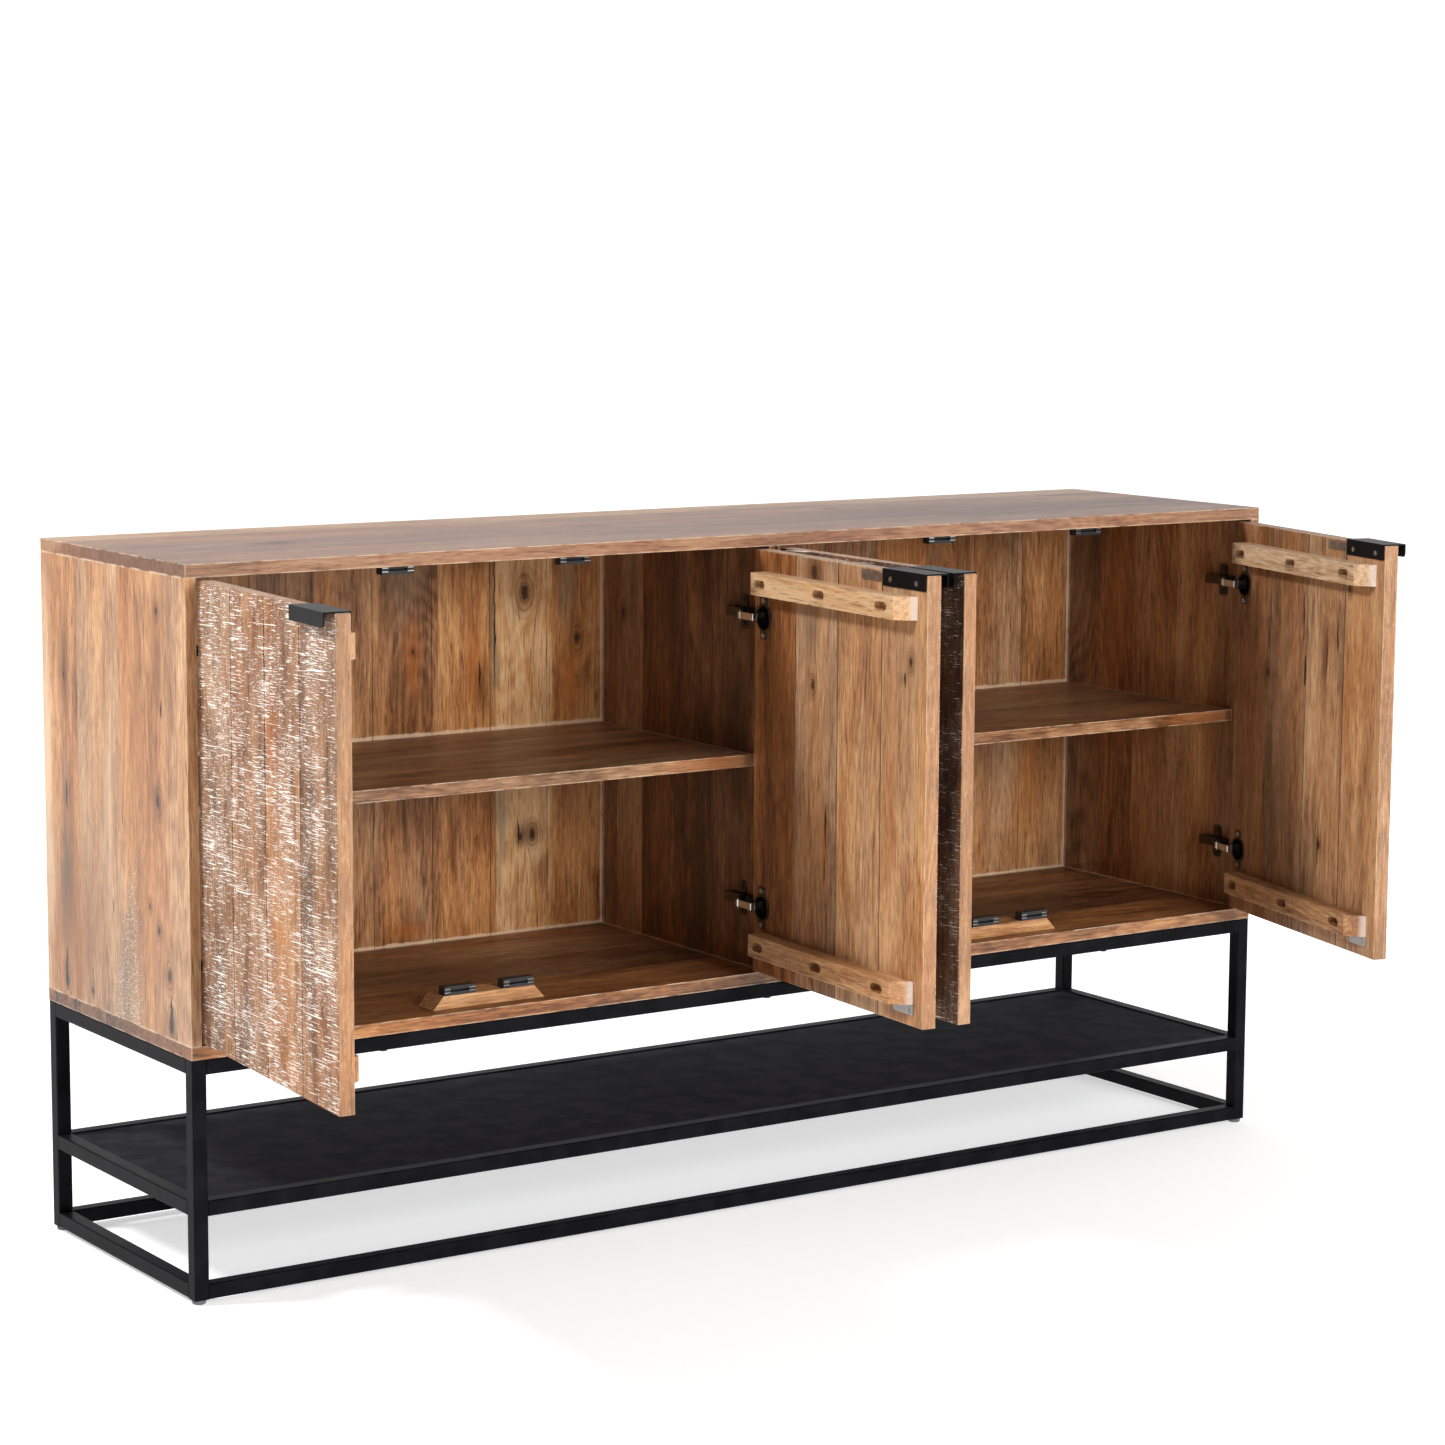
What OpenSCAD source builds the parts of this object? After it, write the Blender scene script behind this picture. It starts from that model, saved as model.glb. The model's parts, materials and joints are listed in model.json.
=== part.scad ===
// Sideboard buffet: a solid-wood carcass with four plank doors on a steel tube base.
// Millimetres. Z is up, the front faces -Y, and the origin is on the floor
// under the middle of the carcass. The doors are drawn standing open.

/* [Overall] */
// Width of the carcass and of its base
body_w = 1750; // [1600:10:1900]
// Depth from the front to the back
body_d = 430; // [380:5:480]
// Height from the floor to the top surface
body_h = 932; // [880:2:1000]

/* [Carcass] */
// Thickness of the top and bottom boards
board_t = 17; // [15:1:22]
// Thickness of the two side boards
side_t = 14; // [13:1:20]
// Thickness of the centre divider
divider_t = 16; // [15:1:22]
// Thickness of the back planks
back_t = 10; // [8:1:14]
// Number of back planks in each bay
back_planks_per_bay = 9; // [6:1:12]
// Thickness of the shelves
shelf_t = 17; // [15:1:22]
// Height of a shelf's upper face above the floor
shelf_z = 628; // [580:2:680]
// Distance from the front of the carcass back to a shelf
shelf_setback = 32; // [26:2:80]

/* [Doors] */
// Thickness of the door planks
door_t = 20; // [18:1:22]
// Number of planks in a door
planks_per_door = 4; // [4:1:4]
// Gap between two planks
plank_gap = 0.8; // [0.4:0.2:1.6]
// Gap between a door and the board that carries its hinges
hinge_gap = 2; // [2:0.5:4]
// Gap between the two doors of a bay
meeting_gap = 3; // [3:0.5:6]
// Gap above and below a door
door_gap = 3; // [3:0.5:5]
// Angle at which door 1 stands open
open_1 = 94.9; // [0:0.1:96]
// Angle at which door 2 stands open
open_2 = 86; // [0:0.1:86]
// Angle at which door 3 stands open
open_3 = 92; // [0:0.1:93]
// Angle at which door 4 stands open
open_4 = 76.2; // [0:0.1:96]

/* [Battens] */
// Height of a batten
batten_h = 30; // [26:1:34]
// Thickness of a batten
batten_t = 24; // [18:1:26]
// Distance from a batten to the door's nearer end
batten_inset = 28; // [26:1:30]
// Distance from the hinge edge to a batten
batten_start = 28; // [26:1:34]
// Length of a batten at the door's face
batten_len = 372; // [360:2:376]
// Length of the sloping cut at the batten's free end
batten_bevel = 21; // [12:1:24]
// Distance from the hinge edge to the first screw slot
slot_start = 50; // [48:1:54]
// Spacing of the three screw slots
slot_pitch = 150; // [140:1:150]

/* [Handles] */
// Width of a folded handle
handle_w = 100; // [80:2:100]
// Distance that a handle stands out from the door's face
handle_out = 13; // [10:1:14]
// Height of a handle's front lip
lip_h = 18; // [14:1:24]
// Height of a handle's inner flange
flange_h = 22; // [18:1:26]
// Thickness of a handle's sheet metal
handle_t = 1.8; // [1.2:0.2:2]

/* [Hinges] */
// Height of a hinge's middle from the door's nearer end
hinge_inset = 91; // [90:1:120]
// Distance from the door's edge to the middle of a hinge cup
cup_edge = 24; // [22:1:26]
// Radius of a hinge cup
cup_r = 17.5; // [17:0.5:18]
// Depth of a hinge cup
cup_depth = 12; // [10:0.5:13]
// Distance of the link pin from the carcass board
pin_x = 29; // [29:0.5:31]
// Distance of the link pin behind the carcass's front
pin_y = 27; // [27:0.5:29]
// Radius of the link pin
pin_r = 1.6; // [1.4:0.1:2]
// Length of a link from its pin to its tip
link_len = 35; // [30:0.5:35]

/* [Base] */
// Side of the square tube
tube = 20; // [18:1:25]
// Wall of the square tube
tube_wall = 1.5; // [1.2:0.1:2]
// Corner radius of the square tube
tube_r = 2; // [1.5:0.5:3]
// Height of the carcass's underside above the floor
base_h = 314; // [300:2:330]
// Height of the lower shelf's rails above the floor
mid_rail_z = 113; // [90:1:150]
// Height of a plastic foot
foot_h = 6; // [4:1:10]
// Thickness of the sheet-metal shelf
sheet_t = 2; // [1.5:0.5:3]
// Depth of the sheet-metal shelf below the top of its rails
sheet_drop = 2; // [1:0.5:4]

/* [Hidden] */
$fn = 48;

// Carcass
front_y = -body_d / 2;
back_y = body_d / 2;
floor_z = base_h + board_t;
ceiling_z = body_h - board_t;
inside_h = ceiling_z - floor_z;
bay_w = (body_w - 2 * side_t - divider_t) / 2;
bay_left = [-body_w / 2 + side_t, divider_t / 2];
plank_back_y = back_y - back_t;

// Dowels
dowel_r = 4;
dowel_in_board = 10;
dowel_in_side = 20;
dowel_in_shelf = 20;
shelf_dowel_in = 7;
dowel_ys = [-150, 0, 150];
upright_xs = [-body_w / 2 + side_t / 2, 0, body_w / 2 - side_t / 2];
shelf_dowel_ys = [-120, 120];

// Doors: 1 and 3 hang on the left board of their bay, 2 and 4 on the right one
door_w = (bay_w - 2 * hinge_gap - meeting_gap) / 2;
door_h = inside_h - 2 * door_gap;
door_z = floor_z + door_gap;
door_open = [open_1, open_2, open_3, open_4];
door_side = [1, -1, 1, -1];
hinge_board_x = [bay_left[0], bay_left[0] + bay_w, bay_left[1], bay_left[1] + bay_w];
hinge_zs = [door_z + hinge_inset, door_z + door_h - hinge_inset];
plank_w = (door_w - (planks_per_door - 1) * plank_gap) / planks_per_door;

// Battens, each held by three screws in slots
batten_zs = [door_z + batten_inset, door_z + door_h - batten_inset - batten_h];
slot_us = [for (i = [0:2]) slot_start + i * slot_pitch];
slot_half = 8;
slot_r = 2.6;
counterbore_r = 6;
counterbore_depth = 13;
screw_r = 2;
screw_head_r = 4.4;
screw_head_h = 2.4;

// Catches and the plates that they hold
catch_w = 46;
catch_d = 15;
catch_h = 12;
catch_y = front_y + door_t + 2;
upper_strike_u = 292;
lower_strike_u = 380;
strike_w = 46;
strike_h = 13;
strike_t = 1.4;
strike_screw_r = 1.5;
strike_screw_u = 15;
strike_head_r = 2.8;
strike_head_h = 1;
block_h = 18;
block_d = 40;
block_len = 170;
block_top_len = 137;

// Hinges
cup_wall = 1.2;
cup_flange_t = 1.2;
flange_wing_w = 18;
flange_wing_h = 58;
flange_screw_z = 23.5;
ear_u = 11;
ear_v = 4;
plate_t = 4;
plate_y = 57;
plate_screw_z = 16;
plate_screw_in = 7;
arm_half = 6.5;
link_half = 4.6;
link_t = 3.5;
knuckle_r = 3.4;
ear_r = 4.2;
running_gap = 0.05;

// Base
tube_in = tube / 2;
leg_x = body_w / 2 - tube_in;
leg_y = body_d / 2 - tube_in;
rail_len = body_w - 2 * tube;
end_rail_len = body_d - 2 * tube;
top_rail_z = base_h - tube;
frame_screw_xs = [-600, 0, 600];
frame_screw_r = 2.5;

wood = "#a9794f";
wood_dark = "#8a5f3c";
wood_pale = "#c39a6c";
black = "#1c1d20";
steel = "#b8bbbf";
grey = "#77797c";

// ---------- shared shapes ----------

// A rounded rectangle from exact squares and circles, centred
module round_rect(w, h, r) {
    square([w - 2 * r, h], center = true);
    square([w, h - 2 * r], center = true);
    for (x = [-1, 1], y = [-1, 1])
        translate([x * (w / 2 - r), y * (h / 2 - r)]) circle(r = r);
}

// A straight slot outline along X
module slot_outline(half, r) {
    square([2 * half, 2 * r], center = true);
    for (x = [-half, half]) translate([x, 0]) circle(r = r);
}

// A length of square tube along Z
module tube_length(len) {
    linear_extrude(len) difference() {
        round_rect(tube, tube, tube_r);
        round_rect(tube - 2 * tube_wall, tube - 2 * tube_wall, tube_r / 2);
    }
}

// A screw along +Z: its head's underside is at 0 and its shank goes up
module screw(len, r, head_r, head_h) {
    cylinder(r = r, h = len);
    difference() {
        translate([0, 0, -head_h]) cylinder(r = head_r, h = head_h);
        for (a = [0, 90]) rotate(a)
            translate([-head_r * 0.55, -0.4, -head_h - 0.01]) cube([head_r * 1.1, 0.8, head_h * 0.5]);
    }
}

// ---------- carcass ----------

// Vertical dowels at every upright board; up = 1 at the top board, -1 at the bottom
module upright_dowels(z, up, grow = 0) {
    for (x = upright_xs, y = dowel_ys)
        translate([x, y, up > 0 ? z - dowel_in_side : z - dowel_in_board])
            cylinder(r = dowel_r + grow, h = dowel_in_side + dowel_in_board);
}

// Dowels across the ends of both shelves
module shelf_dowels() {
    for (bay = [0, 1], y = shelf_dowel_ys, end = [0, 1])
        translate([bay_left[bay] + end * bay_w + (end == 0 ? -shelf_dowel_in : -dowel_in_shelf),
                   y, shelf_z - shelf_t / 2])
            rotate([0, 90, 0]) cylinder(r = dowel_r, h = dowel_in_shelf + shelf_dowel_in);
}

module all_dowels() {
    upright_dowels(ceiling_z, 1);
    upright_dowels(floor_z, -1);
    shelf_dowels();
}

// A screw in the base, up through a top rail into the bottom board
module frame_screw_places() {
    for (x = frame_screw_xs, y = [-leg_y, leg_y]) translate([x, y, top_rail_z]) children();
}

module top_board() color(wood) difference() {
    translate([-body_w / 2, front_y, ceiling_z]) cube([body_w, body_d, board_t]);
    upright_dowels(ceiling_z, 1);
}

module bottom_board() color(wood) difference() {
    translate([-body_w / 2, front_y, base_h]) cube([body_w, body_d, board_t]);
    upright_dowels(floor_z, -1);
    frame_screw_places() cylinder(r = frame_screw_r, h = tube + 12);
}

// An upright board, bored for its dowels and hinge screws
module upright(x, t) {
    difference() {
        translate([x, front_y, floor_z]) cube([t, body_d, inside_h]);
        all_dowels();
        for (door = [0:3]) hinge_frame(door) plate_screw_holes();
    }
}

module left_side() color(wood) upright(-body_w / 2, side_t);
module right_side() color(wood) upright(body_w / 2 - side_t, side_t);
module centre_divider() color(wood_dark) upright(-divider_t / 2, divider_t);

module back_planks() color(wood_dark) {
    width = bay_w / back_planks_per_bay;
    for (bay = [0, 1], i = [0:back_planks_per_bay - 1])
        translate([bay_left[bay] + i * width + plank_gap / 2, plank_back_y, floor_z])
            cube([width - plank_gap, back_t, inside_h]);
}

// A shelf across one bay
module shelf(bay) color(wood_dark) difference() {
    translate([bay_left[bay], front_y + shelf_setback, shelf_z - shelf_t])
        cube([bay_w, plank_back_y - front_y - shelf_setback, shelf_t]);
    shelf_dowels();
}

module left_shelf() shelf(0);
module right_shelf() shelf(1);
module dowels() color(wood_pale) all_dowels();

// ---------- magnetic catches ----------

// Places its child at each bay's middle, then off to both sides of it
module at_catches(off) {
    for (bay = [0, 1], side = [-1, 1])
        translate([bay_left[bay] + bay_w / 2 + side * off, catch_y, 0]) children();
}

upper_catch_off = bay_w / 2 - hinge_gap - upper_strike_u;
lower_catch_off = bay_w / 2 - hinge_gap - lower_strike_u;

// One catch: a plastic case with two steel pole plates at its front
module catch_case() {
    difference() {
        translate([-catch_w / 2, 0, 0]) cube([catch_w, catch_d, catch_h]);
        translate([-catch_w / 2 + 9, -1, 3]) cube([catch_w - 18, 7, catch_h - 6]);
    }
    for (z = [3, catch_h - 4.5])
        translate([-catch_w / 2 + 9, -0.5, z]) cube([catch_w - 18, 6.5, 1.5]);
}

module upper_catches() color(grey) at_catches(upper_catch_off)
    translate([0, 0, ceiling_z - catch_h]) catch_case();

module lower_catches() color(grey) at_catches(lower_catch_off)
    translate([0, 0, floor_z + block_h]) catch_case();

// Wooden blocks with sloping ends that lift the lower catches
module catch_blocks() color(wood) {
    for (bay = [0, 1])
        translate([bay_left[bay] + bay_w / 2, catch_y + block_d, floor_z]) rotate([90, 0, 0])
            linear_extrude(block_d) polygon([
                [-block_len / 2, 0], [block_len / 2, 0],
                [block_top_len / 2, block_h], [-block_top_len / 2, block_h]
            ]);
}

// ---------- doors ----------

// Carcass frame of a door's hinges: X runs from the hinge board into the bay,
// Y from the front to the back
module hinge_frame(door) {
    translate([hinge_board_x[door], front_y, 0])
        mirror([door_side[door] > 0 ? 0 : 1, 0, 0]) children();
}

// Frame of a door: X runs along it from the hinge edge, Y from its outer to its
// inner face, and it is turned about its outer hinge corner by its open angle
module door_frame(door) {
    hinge_frame(door) translate([hinge_gap, 0, 0]) rotate(-door_open[door]) children();
}

module door_planks(door) color(wood) door_frame(door) difference() {
    for (i = [0:planks_per_door - 1])
        translate([i * (plank_w + plank_gap), 0, door_z]) cube([plank_w, door_t, door_h]);
    for (z = hinge_zs) {
        translate([cup_edge, door_t - cup_depth, z]) rotate([-90, 0, 0])
            cylinder(r = cup_r + 0.1, h = cup_depth + 1);
        for (side = [-1, 1]) translate([cup_edge, door_t - 9, z + side * flange_screw_z])
            rotate([-90, 0, 0]) cylinder(r = screw_r, h = 10);
    }
    for (z = batten_zs, u = slot_us) translate([u, door_t - 14, z + batten_h / 2])
        rotate([-90, 0, 0]) cylinder(r = screw_r, h = 15);
    for (u = handle_screw_us) translate([u, door_t - 10, handle_screw_z])
        rotate([-90, 0, 0]) cylinder(r = screw_r, h = 11);
    for (place = strike_places, side = [-1, 1])
        translate([place[0] + side * strike_screw_u, door_t - 10, place[1]])
            rotate([-90, 0, 0]) cylinder(r = strike_screw_r, h = 11);
}

module door_battens(door) color(wood_pale) door_frame(door) {
    for (z = batten_zs) difference() {
        translate([0, 0, z]) linear_extrude(batten_h) polygon([
            [batten_start, door_t], [batten_start + batten_len, door_t],
            [batten_start + batten_len - batten_bevel, door_t + batten_t],
            [batten_start, door_t + batten_t]
        ]);
        for (u = slot_us) translate([u, door_t + batten_t, z + batten_h / 2]) rotate([90, 0, 0]) {
            translate([0, 0, -1]) linear_extrude(batten_t + 2) slot_outline(slot_half - 2, slot_r);
            translate([0, 0, -1]) linear_extrude(counterbore_depth + 1)
                slot_outline(slot_half, counterbore_r);
        }
    }
}

// Folded handle: inner flange, top plate and front lip with rounded lower corners
handle_u = door_w - 3 - handle_w;
handle_top = door_z + door_h + handle_t;
handle_screw_us = [handle_u + handle_w * 0.2, handle_u + handle_w * 0.8];
handle_screw_z = handle_top - flange_h + 9;

// A sheet standing in the door's plane with its two lower corners rounded
module rounded_lip(w, h, r) {
    linear_extrude(handle_t) {
        translate([0, r]) square([w, h - r]);
        translate([r, 0]) square([w - 2 * r, r]);
        for (x = [r, w - r]) translate([x, r]) circle(r = r);
    }
}

module door_handle(door) color(black) door_frame(door) {
    translate([handle_u, -handle_out, handle_top - handle_t])
        cube([handle_w, handle_out + door_t + handle_t, handle_t]);
    translate([handle_u, -handle_out + handle_t, handle_top - lip_h]) rotate([90, 0, 0])
        rounded_lip(handle_w, lip_h, 5);
    difference() {
        translate([handle_u, door_t + handle_t, handle_top - flange_h]) rotate([90, 0, 0])
            rounded_lip(handle_w, flange_h, 2);
        for (u = handle_screw_us) translate([u, door_t - 1, handle_screw_z])
            rotate([-90, 0, 0]) cylinder(r = screw_r + 0.2, h = handle_t + 2);
    }
}

// Steel plates that the catches hold; their screw heads are sunk flush
strike_places = [
    [upper_strike_u, door_z + door_h - 3 - strike_h / 2],
    [lower_strike_u, floor_z + block_h + catch_h / 2]
];

module door_strikes(door) color(steel) door_frame(door) {
    for (place = strike_places)
        translate([place[0], door_t + strike_t, place[1]]) rotate([90, 0, 0]) difference() {
            linear_extrude(strike_t) round_rect(strike_w, strike_h, 3);
            for (side = [-1, 1]) translate([side * strike_screw_u, 0, -1]) {
                cylinder(r = strike_screw_r + 0.2, h = strike_t + 2);
                cylinder(r = strike_head_r + 0.2, h = 1 + strike_head_h);
            }
        }
}

// Hinge cup: a pan let into the door, its screwed flange, two ears and a small axle
module hinge_cup() {
    difference() {
        union() {
            translate([0, -cup_depth + 0.4, 0]) rotate([-90, 0, 0]) cylinder(r = cup_r, h = cup_depth);
            rotate([-90, 0, 0]) linear_extrude(cup_flange_t) {
                circle(r = cup_r + 1.8);
                round_rect(flange_wing_w, flange_wing_h, 4);
            }
        }
        translate([0, -cup_depth + 0.4 + cup_wall, 0]) rotate([-90, 0, 0])
            cylinder(r = cup_r - cup_wall, h = cup_depth + 3);
        for (side = [-1, 1]) translate([0, -1, side * flange_screw_z]) rotate([-90, 0, 0])
            cylinder(r = screw_r + 0.2, h = 4);
    }
}

// Two ears standing up from the cup's rim on the hinge side, with an axle between them
module cup_ears() {
    x = ear_u - cup_edge;
    for (side = [-1, 1]) translate([x - 3, -cup_depth / 2, side > 0 ? 5.4 : -7.2])
        cube([6, cup_depth / 2 + ear_v + 1.5, 1.8]);
    translate([x, ear_v, -7.2]) cylinder(r = 1.5, h = 14.4);
    translate([x - 3, -cup_depth / 2 - 1.8, -7.2]) cube([6, 1.8, 14.4]);
}

module door_hinge_cups(door) color(steel) door_frame(door) {
    for (z = hinge_zs) translate([cup_edge, door_t, z]) {
        hinge_cup();
        cup_ears();
    }
}

module door_screws(door) color(steel) door_frame(door) {
    for (z = batten_zs, u = slot_us)
        translate([u, door_t + batten_t - counterbore_depth, z + batten_h / 2]) rotate([90, 0, 0])
            screw(batten_t - counterbore_depth + 14, screw_r, screw_head_r, screw_head_h);
    for (u = handle_screw_us) translate([u, door_t + handle_t, handle_screw_z]) rotate([90, 0, 0])
        screw(handle_t + 10, screw_r, 3.6, 1.4);
    for (z = hinge_zs, side = [-1, 1])
        translate([cup_edge, door_t + cup_flange_t, z + side * flange_screw_z]) rotate([90, 0, 0])
            screw(cup_flange_t + 9, screw_r, 3.6, 1.4);
    for (place = strike_places, side = [-1, 1])
        translate([place[0] + side * strike_screw_u, door_t + strike_t - strike_head_h, place[1]])
            rotate([90, 0, 0]) screw(strike_t - strike_head_h + 10, strike_screw_r, strike_head_r,
                strike_head_h);
}

// ---------- hinges on the carcass ----------

module plate_screw_holes() {
    for (z = hinge_zs, side = [-1, 1])
        translate([-plate_screw_in, plate_y, z + side * plate_screw_z]) rotate([0, 90, 0])
            cylinder(r = screw_r, h = plate_screw_in + 1);
}

// Cross-shaped mounting plates, one behind every hinge arm
module hinge_plates() color(black) for (door = [0:3]) hinge_frame(door) {
    for (z = hinge_zs) difference() {
        translate([0, plate_y, z]) rotate([0, 90, 0]) {
            linear_extrude(plate_t - 1.5) round_rect(48, 16, 6);
            linear_extrude(plate_t) square([13, 50], center = true);
        }
        for (side = [-1, 1]) translate([-1, plate_y, z + side * plate_screw_z]) rotate([0, 90, 0])
            cylinder(r = screw_r + 0.2, h = plate_t + 2);
    }
}

// Cranked arm: a bar along the board, then a slanting nose that ends in two ears
module arm_outline() {
    run = [pin_x - 9, pin_y - 44];
    length = norm(run);
    across = [-run[1], run[0]] / length * 3.5;
    translate([plate_t, 40]) square([8.3, 46]);
    polygon([
        [9, 44] + across, [9, 44] - across, [pin_x, pin_y] - across, [pin_x, pin_y] + across
    ]);
    translate([pin_x, pin_y]) circle(r = ear_r);
}

module hinge_arms() color(steel) for (door = [0:3]) hinge_frame(door) {
    for (z = hinge_zs) difference() {
        translate([0, 0, z - arm_half]) linear_extrude(2 * arm_half) arm_outline();
        translate([pin_x, pin_y, z - link_half - 0.3]) cylinder(r = 5.6, h = 2 * link_half + 0.6);
        translate([pin_x, pin_y, z - arm_half - 1]) cylinder(r = pin_r, h = 2 * arm_half + 2);
    }
}

module hinge_pins() color(steel) for (door = [0:3]) hinge_frame(door) {
    for (z = hinge_zs) translate([pin_x, pin_y, z - arm_half - 0.4])
        cylinder(r = pin_r, h = 2 * arm_half + 0.8);
}

// A door's two links, which swing on the arms' pins in step with the door
module door_hinge_links(door) color(steel) hinge_frame(door) {
    for (z = hinge_zs) translate([pin_x, pin_y, z - link_half]) rotate(-door_open[door])
        linear_extrude(2 * link_half) difference() {
            union() {
                circle(r = knuckle_r);
                translate([0, -link_t / 2]) square([link_len - link_t / 2, link_t]);
                translate([link_len - link_t / 2, 0]) circle(r = link_t / 2);
            }
            circle(r = pin_r + running_gap);
        }
}

// Screws of the mounting plates and of the base
module carcass_screws() color(steel) {
    for (door = [0:3]) hinge_frame(door)
        for (z = hinge_zs, side = [-1, 1])
            translate([plate_t - 1.5, plate_y, z + side * plate_screw_z]) rotate([0, -90, 0])
                screw(plate_t - 1.5 + plate_screw_in, screw_r, 3.8, 1.6);
    frame_screw_places() screw(tube + 12, frame_screw_r, 5, 2.5);
}

// ---------- base ----------

module legs() color(black) {
    for (x = [-leg_x, leg_x], y = [-leg_y, leg_y])
        translate([x, y, foot_h]) tube_length(base_h - foot_h);
}

// A rail along X with its underside at z
module long_rail(y, z) color(black) {
    translate([-rail_len / 2, y, z + tube_in]) rotate([0, 90, 0]) tube_length(rail_len);
}

// A top rail, bored for the screws that hold the carcass
module top_long_rail(y) color(black) difference() {
    long_rail(y, top_rail_z);
    for (x = frame_screw_xs) translate([x, y, top_rail_z - 1])
        cylinder(r = frame_screw_r + 0.1, h = tube + 2);
}

// A pair of rails along Y, one at each end
module end_rails(z) color(black) {
    for (x = [-leg_x, leg_x])
        translate([x, end_rail_len / 2, z + tube_in]) rotate([90, 0, 0]) tube_length(end_rail_len);
}

module top_front_rail() top_long_rail(-leg_y);
module top_back_rail() top_long_rail(leg_y);
module top_end_rails() end_rails(top_rail_z);
module middle_front_rail() long_rail(-leg_y, mid_rail_z);
module middle_back_rail() long_rail(leg_y, mid_rail_z);
module middle_end_rails() end_rails(mid_rail_z);
module bottom_front_rail() long_rail(-leg_y, foot_h);
module bottom_back_rail() long_rail(leg_y, foot_h);
module bottom_end_rails() end_rails(foot_h);

sheet_top = mid_rail_z + tube - sheet_drop;
sheet_gap = 1;

module sheet_shelf() color(black) {
    w = rail_len - 2 * sheet_gap;
    d = end_rail_len - 2 * sheet_gap;
    translate([-w / 2, -d / 2, sheet_top - sheet_t]) cube([w, d, sheet_t]);
}

// Welded tabs that carry the sheet-metal shelf
module shelf_tabs() color(black) {
    for (x = [-rail_len / 3, 0, rail_len / 3], side = [-1, 1])
        translate([x - 15, side > 0 ? end_rail_len / 2 - 14 : -end_rail_len / 2,
                   sheet_top - sheet_t - 3])
            cube([30, 14, 3]);
    for (side = [-1, 1])
        translate([side > 0 ? rail_len / 2 - 14 : -rail_len / 2, -15, sheet_top - sheet_t - 3])
            cube([14, 30, 3]);
}

// Plastic glides: a round pad with a plug inside the leg
module feet() color(grey) {
    for (x = [-leg_x, leg_x], y = [-leg_y, leg_y]) translate([x, y, 0]) {
        cylinder(r1 = 7.5, r2 = 9, h = 1.5);
        translate([0, 0, 1.5]) cylinder(r = 9, h = foot_h - 1.5);
        translate([0, 0, foot_h]) cylinder(r = 8, h = 12);
    }
}

top_board();
bottom_board();
left_side();
right_side();
centre_divider();
back_planks();
left_shelf();
right_shelf();
dowels();
catch_blocks();
upper_catches();
lower_catches();
hinge_plates();
hinge_arms();
hinge_pins();
carcass_screws();
legs();
top_front_rail();
top_back_rail();
top_end_rails();
middle_front_rail();
middle_back_rail();
middle_end_rails();
bottom_front_rail();
bottom_back_rail();
bottom_end_rails();
sheet_shelf();
shelf_tabs();
feet();
door_planks(0);  // door_1_planks
door_battens(0);  // door_1_battens
door_handle(0);  // door_1_handle
door_strikes(0);  // door_1_strikes
door_hinge_cups(0);  // door_1_hinge_cups
door_screws(0);  // door_1_screws
door_hinge_links(0);  // door_1_hinge_links
door_planks(1);  // door_2_planks
door_battens(1);  // door_2_battens
door_handle(1);  // door_2_handle
door_strikes(1);  // door_2_strikes
door_hinge_cups(1);  // door_2_hinge_cups
door_screws(1);  // door_2_screws
door_hinge_links(1);  // door_2_hinge_links
door_planks(2);  // door_3_planks
door_battens(2);  // door_3_battens
door_handle(2);  // door_3_handle
door_strikes(2);  // door_3_strikes
door_hinge_cups(2);  // door_3_hinge_cups
door_screws(2);  // door_3_screws
door_hinge_links(2);  // door_3_hinge_links
door_planks(3);  // door_4_planks
door_battens(3);  // door_4_battens
door_handle(3);  // door_4_handle
door_strikes(3);  // door_4_strikes
door_hinge_cups(3);  // door_4_hinge_cups
door_screws(3);  // door_4_screws
door_hinge_links(3);  // door_4_hinge_links
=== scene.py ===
import json
import math

import bpy
import numpy as np
from mathutils import Matrix, Vector


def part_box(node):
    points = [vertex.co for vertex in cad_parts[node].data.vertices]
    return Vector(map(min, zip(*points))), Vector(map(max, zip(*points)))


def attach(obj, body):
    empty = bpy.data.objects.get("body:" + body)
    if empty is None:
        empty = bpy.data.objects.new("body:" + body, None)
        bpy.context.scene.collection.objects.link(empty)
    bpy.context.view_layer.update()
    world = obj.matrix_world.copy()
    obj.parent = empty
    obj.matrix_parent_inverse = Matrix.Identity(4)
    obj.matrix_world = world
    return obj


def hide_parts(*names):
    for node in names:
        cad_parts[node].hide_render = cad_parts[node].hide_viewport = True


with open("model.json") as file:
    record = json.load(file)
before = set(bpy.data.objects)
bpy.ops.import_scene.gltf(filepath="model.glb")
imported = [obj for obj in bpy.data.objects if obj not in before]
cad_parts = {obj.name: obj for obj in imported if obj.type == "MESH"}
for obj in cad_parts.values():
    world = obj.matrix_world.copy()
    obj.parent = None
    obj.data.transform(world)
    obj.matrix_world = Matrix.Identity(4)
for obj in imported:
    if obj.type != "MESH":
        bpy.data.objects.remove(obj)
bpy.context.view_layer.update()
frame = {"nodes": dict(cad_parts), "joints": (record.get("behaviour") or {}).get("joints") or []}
NODES = frame["nodes"]
MM = 0.001


def add_object(name, data):
    """A new object in the scene."""
    made = bpy.data.objects.new(name, data)
    bpy.context.scene.collection.objects.link(made)
    return made


def add_mesh(name, points, faces):
    """A new mesh object, shaded flat."""
    mesh = bpy.data.meshes.new(name)
    mesh.from_pydata(points, [], faces)
    return add_object(name, mesh)


# ---------- camera, light and floor ----------

CAMERA_AT = Vector((-2.8435, -4.2828, 1.3594))
CAMERA_YAW = math.radians(34.162)
CAMERA_PITCH = math.radians(7.865)
CAMERA_ROLL = math.radians(0.3235)
CAMERA_LENS = 91.89
SENSOR = 36.0

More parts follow.
